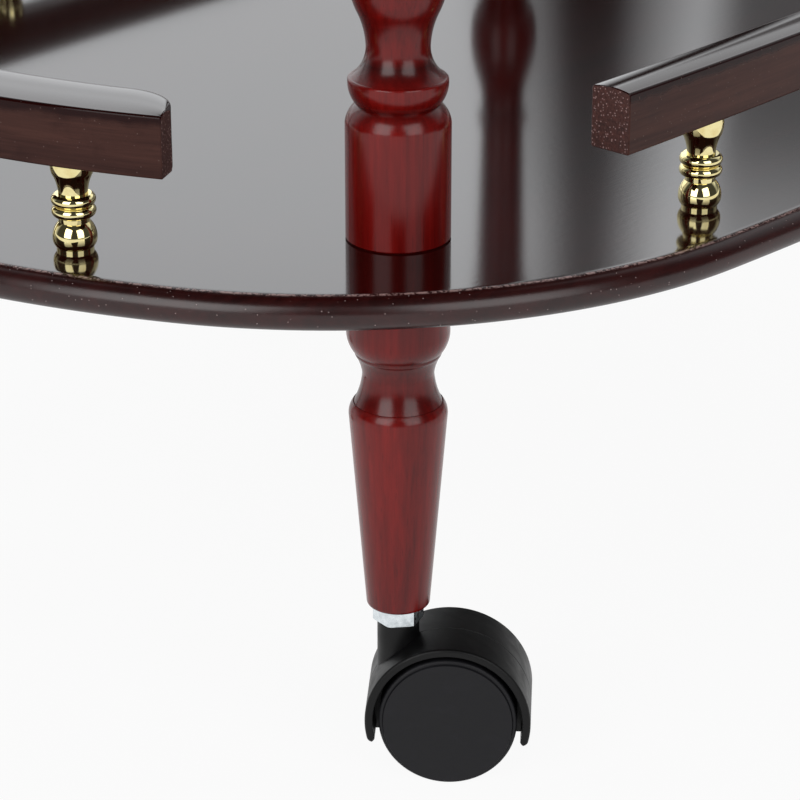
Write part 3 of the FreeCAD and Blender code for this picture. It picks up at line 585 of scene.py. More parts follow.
class Shape:
    """Points and faces of one piece. A mark per point flags rubbed places, which are partly real wear and
    partly painted highlight, glossy rail strips that get painted shade, and deep grooves that get painted
    shade; grain follows the wood.
    """

    def __init__(self):
        self.points = []
        self.faces = []
        self.slots = []
        self.wear_and_painted_light = []
        self.grain = []

    def ring(self, points, wear_and_painted_light=0.0, grain=None):
        """Adds a ring of points and gives the number of its first one."""
        start = len(self.points)
        self.points.extend(map(tuple, points))
        self.wear_and_painted_light.extend(wear_and_painted_light if isinstance(wear_and_painted_light, list) else [wear_and_painted_light] * len(points))
        self.grain.extend(map(tuple, points if grain is None else grain))
        return start

    def face(self, corners, slot=0):
        self.faces.append(tuple(corners))
        self.slots.append(slot)

    def skin(self, starts, count, closed=False):
        """Quads between neighbouring rings, and from the last ring to the first if closed."""
        pairs = list(zip(starts, starts[1:] + starts[:1]))
        for first, second in pairs if closed else pairs[:-1]:
            for step in range(count):
                after = (step + 1) % count
                self.face((first + step, first + after, second + after, second + step))

    def caps(self, starts, count, slot=0):
        """A flat face across each of these rings."""
        for start in starts:
            self.face(range(start, start + count), slot)

    def lathe(self, points, centre=(0.0, 0.0, 0.0), segments=LEG_SEGMENTS, wear_and_painted_light=None):
        """A turned shape about a vertical line. Its points start and end on the line or go round."""
        angles = np.linspace(0, 2 * math.pi, segments, endpoint=False)
        wear_and_painted_light = [0.0] * len(points) if wear_and_painted_light is None else wear_and_painted_light
        on_axis = points[0][0] == 0.0
        starts = []
        for (radius, height), ink in list(zip(points, wear_and_painted_light))[1:-1] if on_axis else zip(points, wear_and_painted_light):
            xs = centre[0] + radius * np.cos(angles)
            ys = centre[1] + radius * np.sin(angles)
            zs = np.full(segments, centre[2] + height)
            starts.append(self.ring(np.column_stack((xs, ys, zs)), ink, np.column_stack((zs, xs, ys))))
        self.skin(starts, segments, closed=not on_axis)
        if on_axis:
            for number, ring in ((0, starts[0]), (-1, starts[-1])):
                x, y, z = centre[0], centre[1], centre[2] + points[number][1]
                pole = self.ring([(x, y, z)], wear_and_painted_light[number], [(z, x, y)])
                for step in range(segments):
                    self.face((pole, ring + step, ring + (step + 1) % segments))

    def placed(self, matrix):
        """The same shape, turned and moved."""
        self.points = [tuple(matrix @ Vector(point)) for point in self.points]
        return self

    def mesh(self, name):
        """A Blender mesh with outward faces, smooth between its creases."""
        data = bpy.data.meshes.new(name)
        data.from_pydata(self.points, [], self.faces)
        data.polygons.foreach_set("material_index", self.slots)
        data.attributes.new("wear_and_painted_light", "FLOAT", "POINT").data.foreach_set("value", self.wear_and_painted_light)
        grain = data.attributes.new("grain", "FLOAT_VECTOR", "POINT")
        grain.data.foreach_set("vector", np.array(self.grain, dtype=float).ravel())
        smoothed(data)
        return data


def smoothed(data, crease=CREASE):
    """Turns faces outward and shades them smooth up to the crease angle."""
    work = bmesh.new()
    work.from_mesh(data)
    bmesh.ops.recalc_face_normals(work, faces=work.faces)
    work.to_mesh(data)
    work.free()
    data.shade_smooth()
    data.set_sharp_from_angle(angle=math.radians(crease))


def piece(name, data, slots, body, nodes):
    """An object of this mesh that wears the slots' materials, rides on a body and replaces nodes."""
    made = bpy.data.objects.new(name, data)
    bpy.context.scene.collection.objects.link(made)
    for slot in slots:
        data.materials.append(material(slot))
    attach(made, body)
    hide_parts(*nodes)
    return made


def joined(base, others, operation):
    """The mesh left after adding the other meshes to the base, or cutting them from it."""
    scene = bpy.context.scene
    target = bpy.data.objects.new("base", base)
    scene.collection.objects.link(target)
    tools = []
    for data in others:
        tool = bpy.data.objects.new("tool", data)
        scene.collection.objects.link(tool)
        tools.append(tool)
        modifier = target.modifiers.new("join", "BOOLEAN")
        modifier.operation = operation
        modifier.solver = "EXACT"
        modifier.object = tool
    graph = bpy.context.evaluated_depsgraph_get()
    result = bpy.data.meshes.new_from_object(target.evaluated_get(graph))
    for spent in [target] + tools:
        bpy.data.objects.remove(spent)
    return result


def depth_in(points, reach):
    """How far each point of a turned outline lies in from its surroundings, from 0 to 1."""
    radii = np.array([point[0] for point in points])
    heights = np.array([point[1] for point in points])
    depths = []
    for radius, height in zip(radii, heights):
        around = radii[np.abs(heights - height) <= reach].max()
        depths.append(float(min(1.0, (around - radius) / reach)))
    return depths


# ---------------------------------------------------------------- materials
class Finish:
    """A material in the making: each call adds a node and gives its output."""

    def __init__(self, name, settings):
        self.material = bpy.data.materials.new(name + FINISH_MARK)
        self.material.use_nodes = True
        self.tree = self.material.node_tree
        self.surface = self.tree.nodes["Principled BSDF"]
        for socket, value in settings.items():
            self.surface.inputs[socket].default_value = value

    def node(self, kind, inputs, **settings):
        made = self.tree.nodes.new("ShaderNode" + kind)
        for name, value in settings.items():
            setattr(made, name, value)
        for socket, value in inputs.items():
            self.feed(made.inputs[socket], value)
        return made

    def feed(self, socket, value):
        if isinstance(value, bpy.types.NodeSocket):
            self.tree.links.new(value, socket)
        else:
            socket.default_value = value

    def wear(self, socket, value):
        """Gives this output to the surface's own socket."""
        self.feed(self.surface.inputs[socket], value)

    def place(self, stretch=EVEN, attribute=None):
        """Coordinates in metres, from the object or from an attribute, scaled along each axis."""
        if attribute:
            place = self.node("Attribute", {}, attribute_name=attribute).outputs["Vector"]
        else:
            place = self.node("TexCoord", {}).outputs["Object"]
        return self.node("Mapping", {"Vector": place, "Scale": stretch}).outputs["Vector"]

    def noise(self, place, scale, detail=2.0, roughness=0.5, distortion=0.0):
        inputs = {"Vector": place, "Scale": scale, "Detail": detail, "Roughness": roughness,
                  "Distortion": distortion}
        return self.node("TexNoise", inputs).outputs["Fac"]

    def specks(self, place, scale, size):
        """Scattered specks, 1 inside and 0 outside; size is a share of their spacing."""
        distance = self.node("TexVoronoi", {"Vector": place, "Scale": scale}).outputs["Distance"]
        return self.span(distance, (size, size * SPECK_CORE))

    def span(self, value, start, end=(0.0, 1.0)):
        """Maps a value from one pair of ends to another, and holds it there."""
        inputs = {"Value": value, "From Min": start[0], "From Max": start[1],
                  "To Min": end[0], "To Max": end[1]}
        return self.node("MapRange", inputs).outputs["Result"]

    def maths(self, operation, first, second):
        return self.node("Math", {0: first, 1: second}, operation=operation).outputs[0]

    def mix(self, factor, first, second):
        """A colour between two others."""
        made = self.node("Mix", {}, data_type="RGBA")
        for socket, value in ((0, factor), (6, first), (7, second)):
            self.feed(made.inputs[socket], value)
        return made.outputs[2]

    def bump(self, height, distance, normal=None):
        inputs = {"Height": height, "Distance": distance}
        if normal:
            inputs["Normal"] = normal
        return self.node("Bump", inputs).outputs["Normal"]

    def bumps(self, *layers):
        """One normal from bumps laid over each other, each a height and its full rise."""
        normal = None
        for height, rise in layers:
            normal = self.bump(height, rise, normal)
        return normal

    def attribute(self, name):
        return self.node("Attribute", {}, attribute_name=name).outputs["Fac"]


def wood(name, dark, light, settings):
    """Stained wood under clear lacquer, with its grain along the grain attribute's first axis."""
    finish = Finish(name, settings)
    place = finish.place(ALONG_GRAIN, "grain")
    figure = finish.noise(place, FIGURE_SCALE, detail=4.0, roughness=0.6, distortion=0.8)
    streaks = finish.noise(place, STREAK_SCALE, detail=3.0, roughness=0.7)
    pores = finish.noise(place, PORE_SCALE, roughness=0.6)
    tone = finish.maths("ADD", finish.span(figure, NOISE_CORE, (0.0, FIGURE_SHARE)),
                        finish.span(streaks, NOISE_CORE, (0.0, 1.0 - FIGURE_SHARE)))
    stained = finish.mix(tone, dark, light)
    stained = finish.mix(finish.span(pores, PORE_SPAN, (0.0, PORE_DEPTH)), stained, dark)
    peel = finish.noise(finish.place(attribute="grain"), PEEL_SCALE, roughness=0.6)
    return finish, stained, pores, peel


def shelf_lacquer(name, wood_set, stains, coat, gloss, dust_size, ripple):
    """Deep clear lacquer; coat is its weight and ripple its unevenness."""
    settings = {"Roughness": 0.5, "Specular IOR Level": 0.0, "Coat Weight": coat,
                "Coat Roughness": gloss, "Coat IOR": 1.65}
    finish, stained, pores, peel = wood(name, *stains, settings)
    place = finish.place()
    breaks = finish.noise(place, WORN_HIGHLIGHT_BREAK_SCALE, detail=3.0, roughness=0.7)
    rubbed = finish.maths("MULTIPLY", finish.attribute("wear_and_painted_light"), finish.span(breaks, WORN_HIGHLIGHT_BREAK_SPAN))
    # The rubbed line on the arris is partly real wear and partly a painted highlight.
    stained = finish.mix(rubbed, stained, wood_set.shelf_arris_wear_and_highlight)
    dust = finish.specks(place, DUST_SCALE, dust_size)
    finish.wear("Base Color", finish.mix(dust, stained, SHELF_DUST))
    normal = finish.bumps((peel, ripple), (pores, ripple), (dust, DUST_RISE))
    finish.wear("Normal", normal)
    finish.wear("Coat Normal", normal)
    return finish.material


def shelf_top(wood_set):
    return shelf_lacquer("shelf_lacquer", wood_set, (wood_set.shelf_dark, wood_set.shelf_light),
                         TOP_COAT, wood_set.shelf_gloss, TOP_DUST_SIZE, TOP_RIPPLE)


def shelf_edge(wood_set):
    return shelf_lacquer("shelf_edge_lacquer", wood_set, (wood_set.edge_dark, wood_set.edge_light),
                         EDGE_COAT, wood_set.edge_gloss, EDGE_DUST_SIZE, EDGE_RIPPLE)


def rail_lacquer(wood_set):
    """Lacquer that is glossy on the strip below the top, whose colour is darkened there as painted shade,
    and rubbed dull on the faces.
    """
    finish, stained, pores, peel = wood("rail_lacquer", wood_set.rail_dark, wood_set.rail_light,
                                        {"IOR": 1.5, "Specular IOR Level": 0.15})
    wander = finish.noise(finish.place(), WANDER_SCALE, detail=3.0)
    wander = finish.span(wander, WIDE_NOISE, WANDER_REACH)
    gloss = finish.span(finish.maths("ADD", finish.attribute("wear_and_painted_light"), wander), GLOSS_SPAN)
    pits = finish.specks(finish.place(attribute="grain"), PIT_SCALE, PIT_SIZE)
    # Painted shade: the glossy strip's colour is darkened for the dark reflection it shows.
    stained = finish.mix(gloss, stained, wood_set.rail_strip_shade)
    stained = finish.mix(finish.maths("MULTIPLY", pits, PIT_SHARE), stained, PIT_COLOUR)
    finish.wear("Base Color", stained)
    finish.wear("Roughness", finish.span(gloss, (0.0, 1.0), RAIL_ROUGHNESS))
    finish.wear("Normal", finish.bumps((peel, RAIL_RIPPLE), (pores, RAIL_RIPPLE), (pits, PIT_RISE)))
    return finish.material


def rail_top_lacquer(wood_set):
    """The deep, polished lacquer along a rail's top."""
    finish, stained, pores, peel = wood("rail_top_lacquer", wood_set.rail_strip_shade, wood_set.rail_dark,
                                        {"Roughness": 0.1, "IOR": 1.6})
    dust = finish.specks(finish.place(), RAIL_DUST_SCALE, RAIL_DUST_SIZE)
    finish.wear("Base Color", finish.mix(dust, stained, RAIL_DUST))
    finish.wear("Normal", finish.bumps((peel, RAIL_TOP_PEEL), (pores, RAIL_TOP_PORES)))
    return finish.material


def rail_end_grain(wood_set):
    """Rough sawn end with open pores under thin lacquer."""
    finish = Finish("rail_end_grain", {"IOR": 1.5})
    place = finish.place(attribute="grain")
    vessels = finish.noise(place, VESSEL_SCALE, detail=3.0, roughness=0.75)
    rings = finish.noise(finish.place(RING_STRETCH, "grain"), RING_SCALE, roughness=0.6, distortion=0.5)
    sparkle = finish.specks(place, SPARKLE_SCALE, SPARKLE_SIZE)
    tone = finish.maths("ADD", finish.span(vessels, VESSEL_SPAN, (0.0, VESSEL_SHARE)),
                        finish.span(rings, WIDE_NOISE, (0.0, RING_SHARE)))
    stained = finish.mix(tone, wood_set.rail_dark, wood_set.rail_end)
    glints = finish.maths("MULTIPLY", sparkle, SPARKLE_SHARE)
    finish.wear("Base Color", finish.mix(glints, stained, SPARKLE_COLOUR))
    finish.wear("Roughness", finish.span(vessels, WIDE_NOISE, END_ROUGHNESS))
    finish.wear("Normal", finish.bump(vessels, VESSEL_RISE))
    return finish.material


def leg_lacquer(wood_set):
    settings = {"Roughness": 0.5, "Specular IOR Level": 0.0, "Coat Weight": 0.9,
                "Coat Roughness": wood_set.leg_gloss, "Coat IOR": 1.45}
    finish, stained, pores, peel = wood("leg_lacquer", wood_set.leg_dark, wood_set.leg_light, settings)
    # Painted shade: the base colour darkens in the turned grooves, by how deep they lie.
    finish.wear("Base Color", finish.mix(finish.attribute("wear_and_painted_light"), stained, wood_set.leg_groove_shade))
    flecks = finish.noise(finish.place(FLECK_STRETCH, "grain"), FLECK_SCALE, detail=3.0, roughness=0.7)
    normal = finish.bumps((peel, LEG_PEEL), (flecks, FLECK_RISE))
    finish.wear("Normal", normal)
    finish.wear("Coat Normal", normal)
    return finish.material


def polished_brass(metal):
    finish = Finish("polished_brass", {"Metallic": 1.0})
    bloom = finish.noise(finish.place(), BLOOM_SCALE, detail=4.0, roughness=0.6)
    lines = finish.noise(finish.place(TURNED_STRETCH), LINE_SCALE)
    finish.wear("Base Color", finish.mix(finish.span(bloom, TARNISH_SPAN), metal.brass, metal.brass_dark))
    finish.wear("Roughness", finish.span(bloom, BLOOM_SPAN, BRASS_ROUGHNESS))
    finish.wear("Normal", finish.bump(lines, LINE_RISE))
    return finish.material


def zinc_steel(metal):
    finish = Finish("zinc_steel", {"Metallic": 1.0})
    place = finish.place()
    patches = finish.noise(place, PATCH_SCALE, detail=4.0, roughness=0.65)
    grit = finish.noise(place, GRIT_SCALE)
    finish.wear("Base Color", finish.mix(finish.span(patches, DULL_SPAN), metal.zinc, metal.zinc_dark))
    finish.wear("Roughness", finish.span(patches, WIDE_NOISE, ZINC_ROUGHNESS))
    finish.wear("Normal", finish.bump(grit, GRIT_RISE))
    return finish.material


def moulded(name, base, roughness, texture):
    """Moulded plastic with a fine spark-eroded texture and faint scuffs."""
    finish = Finish(name, {"Specular IOR Level": 0.25})
    grains = finish.noise(finish.place(), SPARK_SCALE, roughness=0.6)
    place = finish.place(SCUFF_STRETCH)
    scuffs = finish.noise(place, SCUFF_SCALE, detail=5.0, roughness=0.7, distortion=0.6)
    pale = tuple(channel * SCUFF_PALENESS for channel in base[:3]) + (1.0,)
    finish.wear("Base Color", finish.mix(finish.span(scuffs, SCUFF_SPAN), tuple(base), pale))
    finish.wear("Roughness", finish.span(scuffs, BLOOM_SPAN, roughness))
    finish.wear("Normal", finish.bump(grains, texture))
    return finish.material


MAKERS = {
    "shelf_lacquer": lambda scene: shelf_top(scene.trolley_wood),
    "shelf_edge_lacquer": lambda scene: shelf_edge(scene.trolley_wood),
    "rail_lacquer": lambda scene: rail_lacquer(scene.trolley_wood),
    "rail_top_lacquer": lambda scene: rail_top_lacquer(scene.trolley_wood),
    "rail_end_grain": lambda scene: rail_end_grain(scene.trolley_wood),
    "leg_lacquer": lambda scene: leg_lacquer(scene.trolley_wood),
    "polished_brass": lambda scene: polished_brass(scene.trolley_metal),
    "zinc_steel": lambda scene: zinc_steel(scene.trolley_metal),
    "black_nylon": lambda scene: moulded("black_nylon", scene.trolley_caster.nylon, NYLON_ROUGHNESS,
                                         NYLON_TEXTURE),
    "black_wheel": lambda scene: moulded("black_wheel", scene.trolley_caster.wheel, WHEEL_ROUGHNESS,
                                         WHEEL_TEXTURE),
}


def material(slot):
    """The slot's material, made once."""
    name = slot + FINISH_MARK
    if name not in bpy.data.materials:
        MAKERS[slot](bpy.context.scene)
    return bpy.data.materials[name]


# ---------------------------------------------------------------- shelves
def rim_places():
    """Centre, radius and outward direction for each step round the shelf's outline."""
    places = []
    for turn, signs in enumerate(((1, 1), (-1, 1), (-1, -1), (1, -1))):
        quarter = []
        for arc in quarter_arcs(0.0):
            centre, radius, first, last = arc
            steps = math.ceil(arc_length(arc) / RUN_STEP)
            for step in range(steps):
                out = polar((0.0, 0.0), 1.0, first + (last - first) * step / steps)
                quarter.append((centre * signs, radius, out * signs))
        quarter.append((SIDE_CENTRE * signs, SIDE_ARC, np.array((0.0, 1.0)) * signs))
        if turn % 2:
            quarter.reverse()
        places.extend(quarter[:-1])
    return places


def circle(centre, radius, height, segments=HOLE_SEGMENTS):
    angles = np.linspace(0, 2 * math.pi, segments, endpoint=False)
    return [(centre[0] + radius * math.cos(angle), centre[1] + radius * math.sin(angle), height)
            for angle in angles]


def fill_level(shape, outer, holes):
    """Faces between an outer ring and the rings of the holes in it; each is (first point, count)."""
    numbers = []
    edges = []
    for start, count in [outer] + holes:
        first = len(numbers)
        numbers.extend(range(start, start + count))
        edges.extend((first + step, first + (step + 1) % count) for step in range(count))
    flat = [Vector(shape.points[number][:2]) for number in numbers]
    result = geometry.delaunay_2d_cdt(flat, edges, [], DROP_HOLES, FILL_TOLERANCE)
    faces, origins = result[2], result[3]
    for face in faces:
        shape.face([numbers[origins[corner][0]] for corner in face])


def shelf_shape(bottom):
    """Board with a half-round edge, bored and countersunk for its screws."""
    shape = Shape()
    places = rim_places()
    section = Outline(EDGE_R + LEVEL_STRIP, 0.0)
    section.to(EDGE_R, 0.0)
    section.bow(EDGE_R, SHELF_THICK, -HALF_BOW, EDGE_CUTS)
    section.to(EDGE_R + LEVEL_STRIP, SHELF_THICK)
    rings = []
    for inset, height in section.points:
        points = [(*(centre + out * (radius - inset)), bottom + height) for centre, radius, out in places]
        # The rubbed band on the arris is partly real wear and partly a painted highlight.
        rubbed = float(WORN_HIGHLIGHT_FROM < height / SHELF_THICK < WORN_HIGHLIGHT_TO)
        rings.append(shape.ring(points, rubbed))
    shape.skin(rings, len(places))
    round_faces = len(shape.faces) - 2 * len(places)
    shape.slots = [0] * len(places) + [1] * round_faces + [0] * len(places)
    top = bottom + SHELF_THICK
    sink_depth = (SCREW_SINK_D - SCREW_HOLE_D) / 2
    holes = []
    for rail in RAILS:
        for place in spindle_places(rail):
            sink_end = (SCREW_HOLE_D, bottom + sink_depth)
            holes.append([(SCREW_SINK_D, bottom), sink_end, (SCREW_HOLE_D, top), place])
    for corner in CORNERS:
        holes.append([(LEG_HOLE_D, bottom), (LEG_HOLE_D, top), leg_place(corner)])
    mouths = ([], [])
    for *levels, place in holes:
        starts = [shape.ring(circle(place, diameter / 2, height)) for diameter, height in levels]
        shape.skin(starts, HOLE_SEGMENTS)
        mouths[0].append((starts[0], HOLE_SEGMENTS))
        mouths[1].append((starts[-1], HOLE_SEGMENTS))
    fill_level(shape, (rings[0], len(places)), mouths[0])
    fill_level(shape, (rings[-1], len(places)), mouths[1])
    return shape


# ---------------------------------------------------------------- rails
def rail_section(width):
    """Section of a rail about its centreline, outer side positive, underside at height 0."""
    half = width / 2
    edge = RAIL_HEIGHT - RAIL_CROWN
    section = Outline(RAIL_ARRIS - half, 0.0)
    section.to(half - RAIL_ARRIS, 0.0)
    section.bow(half, RAIL_ARRIS, QUARTER_BOW)
    section.to(half, edge - RAIL_GLOSS_H, 2)
    section.to(half, edge - RAIL_ARRIS, 4)
    section.bow(half - RAIL_ARRIS, edge, QUARTER_BOW)
    section.bow(RAIL_ARRIS - half, edge, RAIL_CROWN / (width - 2 * RAIL_ARRIS), 2 * BOW_CUTS)
    section.bow(-half, edge - RAIL_ARRIS, QUARTER_BOW)
    section.to(-half, RAIL_ARRIS)
    section.bow(RAIL_ARRIS - half, 0.0, QUARTER_BOW)
    return section.points[:-1]


def rail_stations(rail):
    """Angles from a rail's middle, each with its length from the nearer end."""
    _, radius, sweep = rail_line(rail)
    half = sweep * radius
    lengths = [0.0, RAIL_END_EASE]
    if rail in END_RAILS:
        turns = [math.pi / 2 * cut / CORNER_CUTS for cut in range(1, CORNER_CUTS + 1)]
        rounded = [END_RAIL_CORNER * (1 - math.cos(turn)) for turn in turns]
        lengths += [length for length in rounded if length > 2 * RAIL_END_EASE]
    start = lengths[-1]
    steps = math.ceil((half - start) / RUN_STEP)
    lengths += [start + (half - start) * step / steps for step in range(1, steps + 1)]
    near = [(length / radius - sweep, length) for length in lengths]
    return near + [(-angle, length) for angle, length in reversed(near[:-1])]


def corner_depth(rail, length):
    """How far an end rail's rounded inner corner comes in, at this length from the rail's end."""
    _, radius, _ = rail_line(rail)
    inner = radius - END_RAIL_WIDTH / 2
    to_middle = inner + END_RAIL_CORNER
    turn = math.asin(END_RAIL_CORNER / to_middle) - length / radius
    if rail not in END_RAILS or turn <= 0:
        return 0.0
    across = to_middle * math.sin(turn)
    return to_middle * math.cos(turn) - math.sqrt(END_RAIL_CORNER ** 2 - across ** 2) - inner


def rail_ring(rail, length):
    """A rail's section this far from its end, drawn in at a rounded inner corner and an eased end."""
    width = END_RAIL_WIDTH if rail in END_RAILS else SIDE_RAIL_WIDTH
    eased = RAIL_END_EASE if length == 0.0 else 0.0
    depth = corner_depth(rail, max(length, RAIL_END_EASE))
    middle = depth / 2
    ring = []
    for across, height in rail_section(width):
        inward = (width / 2 - RAIL_ARRIS - across) / (width - 2 * RAIL_ARRIS)
        across += depth * min(1.0, max(0.0, inward))
        across = middle + (across - middle) * (1 - 2 * eased / (width - depth))
        height = RAIL_HEIGHT / 2 + (height - RAIL_HEIGHT / 2) * (1 - 2 * eased / RAIL_HEIGHT)
        ring.append((across, height))
    return ring


def rail_gloss(across, height):
    """1 on a rail's top and on the strip below its outer top edge, 0 on its rubbed faces. Where it is 1
    below the top, the rail's colour is darkened as painted shade.
    """
    strip = RAIL_HEIGHT - RAIL_CROWN - height
    if strip <= 0:
        return 1.0
    return 1.0 - min(1.0, strip / RAIL_GLOSS_H) if across > 0 else 0.0


def rail_shape(rail, bottom):
    """A gallery rail, curved along the gallery's line, with sawn ends."""
    shape = Shape()
    rings = []
    _, radius, _ = rail_line(rail)
    own_wood = list(RAILS).index(rail) * RAIL_WOOD_APART
    for angle, length in rail_stations(rail):
        point, out = gallery_place(rail, angle)
        ring = rail_ring(rail, length)
        points = [(*(point + out * across), bottom + height) for across, height in ring]
        grain = [(angle * radius, across + own_wood, bottom + height) for across, height in ring]
        gloss = [rail_gloss(*place) for place in ring]
        rings.append(shape.ring(points, gloss, grain))
    count = len(ring)
    shape.skin(rings, count)
    shape.slots = [2 if all(shape.wear_and_painted_light[corner] == 1.0 for corner in face) else 0 for face in shape.faces]
    shape.caps((rings[0], rings[-1]), count, slot=1)
    return shape


def spindle_outline():
    """Half section of a hollow spindle, bottom at height 0."""
    outline = Outline(SCREW_HOLE_D / 2, 0.0)
    outline.line((SPINDLE_BASE_D / 2, 0.0), (SPINDLE_BASE_D / 2, SPINDLE_BASE_H))
    height = outline.climb(SPINDLE_BASE_H, (SPINDLE_BELLY_H, SPINDLE_D, SOFT_BOW),
                           (SPINDLE_TAPER_H, SPINDLE_NECK_D, SOFT_BOW))
    height += SPINDLE_NECK_H
    outline.to(SPINDLE_NECK_D / 2, height)
    bead_bow = (SPINDLE_D - SPINDLE_BEAD_ROOT_D) / 2 / SPINDLE_BEAD_H
    for _ in ("lower bead", "upper bead"):
        outline.to(SPINDLE_BEAD_ROOT_D / 2, height)
        height = outline.climb(height, (SPINDLE_BEAD_H, SPINDLE_BEAD_ROOT_D, bead_bow))
    outline.line((SPINDLE_THROAT_D / 2, height), (SPINDLE_THROAT_D / 2, height + SPINDLE_THROAT_H))
    outline.climb(height + SPINDLE_THROAT_H, (SPINDLE_FLARE_H, SPINDLE_FLARE_D, -FLAT_BOW))
    outline.bow(SPINDLE_CUP_D / 2, RAIL_RISE - SPINDLE_LIP_H, FLAT_BOW)
    outline.line((SPINDLE_CUP_D / 2, RAIL_RISE), (SCREW_HOLE_D / 2, RAIL_RISE))
    return outline.points


def spindles_shape(rail, bottom):
    shape = Shape()
    for place in spindle_places(rail):
        shape.lathe(spindle_outline(), (*place, bottom), SPINDLE_SEGMENTS)
    return shape


# ---------------------------------------------------------------- turned legs
def socket_outline(depth):
    """Starts a turned half section with its screw's hole from below and its eased lower edge."""
    outline = Outline(0.0, depth)
    outline.line((LEG_SCREW_D / 2, depth), (LEG_SCREW_D / 2, 0.0), (LEG_D / 2 - ARRIS, 0.0),
                 (LEG_D / 2, ARRIS))
    return outline


def post_outline():
    """Half section of a post that is turned alike from both of its ends, bottom at height 0."""
    outline = socket_outline(LEG_SCREW_DEPTH)
    outline.to(LEG_D / 2, POST_BLOCK_H, BOW_CUTS)
    outline.climb(
        POST_BLOCK_H,
        (POST_SHOULDER_H, POST_GROOVE_D, SOFT_BOW),
        (POST_RING_H, POST_RING_D, SOFT_BOW),
        (POST_LIP, POST_RING_D - 2 * POST_LIP, QUARTER_BOW),
        (POST_COVE_H, POST_WAIST_D, -COVE_BOW),
        (POST_FLARE_H, POST_FLARE_D, -FLAT_BOW),
        (POST_VASE_H, POST_VASE_D, FLAT_BOW),
        (POST_FALL_H, POST_FALL_D, FLAT_BOW),
        (POST_THROAT_H, POST_THROAT_D, -FLAT_BOW),
        (POST_BEAD_H / 2, POST_BEAD_D, QUARTER_BOW),
        (POST_BEAD_H / 2, POST_THROAT_D, QUARTER_BOW),
    )
    outline.to(POST_SHAFT_D / 2, POST_HEIGHT / 2 - MIDDLE_RING_H / 2, BOW_CUTS)
    outline.bow(MIDDLE_RING_D / 2, POST_HEIGHT / 2, QUARTER_BOW)
    lower = outline.points
    return lower + [(radius, POST_HEIGHT - height) for radius, height in reversed(lower[:-1])]


def foot_outline():
    """Half section of a foot, tip at height 0, bored for the stem's insert and the leg screw."""
    outline = Outline(0.0, THREAD_DEPTH)
    outline.line((THREAD_D / 2, THREAD_DEPTH), (THREAD_D / 2, INSERT_DEPTH),
                 (INSERT_D / 2, INSERT_DEPTH), (INSERT_D / 2, 0.0),
                 (FOOT_TIP_D / 2 - FOOT_TIP_ROUND, 0.0))
    outline.bow(FOOT_TIP_D / 2, FOOT_TIP_ROUND, QUARTER_BOW)
    shoulder = FOOT_TIP_ROUND + FOOT_TAPER_H
    outline.to(FOOT_SHOULDER_D / 2, shoulder, BOW_CUTS)
    line = outline.climb(shoulder, (FOOT_SHOULDER_H, FOOT_LINE_D, SOFT_BOW))
    outline.to(FOOT_LINE_D / 2 - FOOT_LINE_STEP, line)
    outline.climb(
        line,
        (FOOT_FLARE_H, FOOT_WAIST_D, -FLAT_BOW),
        (FOOT_COVE_H, FOOT_FILLET_D, -FLAT_BOW),
        (FOOT_FILLET_H, FOOT_BEAD_FOOT_D, SOFT_BOW),
        (FOOT_BEAD_H, LEG_D, SOFT_BOW),
    )
    outline.to(LEG_D / 2, FOOT_HEIGHT - ARRIS, BOW_CUTS)
    screw_end = FOOT_HEIGHT - LEG_SCREW_DEPTH
    outline.line((LEG_D / 2 - ARRIS, FOOT_HEIGHT), (LEG_SCREW_D / 2, FOOT_HEIGHT),
                 (LEG_SCREW_D / 2, screw_end), (0.0, screw_end))
    return outline.points


def finial_outline():
    """Half section of a finial, bottom at height 0."""
    outline = socket_outline(FINIAL_SCREW_DEPTH)
    outline.to(LEG_D / 2, FINIAL_BLOCK_H)
    neck = FINIAL_BLOCK_H + FINIAL_SHOULDER_H
    outline.bow(FINIAL_NECK_D / 2, neck, QUARTER_BOW)
    ball_start = neck + FINIAL_NECK_H
    outline.to(FINIAL_NECK_D / 2, ball_start)
    ball_r = FINIAL_BALL_D / 2
    centre = ball_start + math.sqrt(ball_r ** 2 - (FINIAL_NECK_D / 2) ** 2)
    to_equator = math.acos(FINIAL_NECK_D / FINIAL_BALL_D)
    outline.bow(ball_r, centre, math.tan(to_equator / 4) / 2)
    outline.bow(0.0, centre + ball_r, QUARTER_BOW, 2 * BOW_CUTS)
    points = outline.points
    return points[:-1] + [(0.0, points[-1][1])]


def turned_shape(outline, corner, bottom):
    """A turned piece on its leg's axis, with painted shade darkening its grooves."""
    leg = leg_place(corner)
    shape = Shape()
    shape.lathe(outline, (leg.x, leg.y, bottom), LEG_SEGMENTS, depth_in(outline, GROOVE_REACH))
    return shape


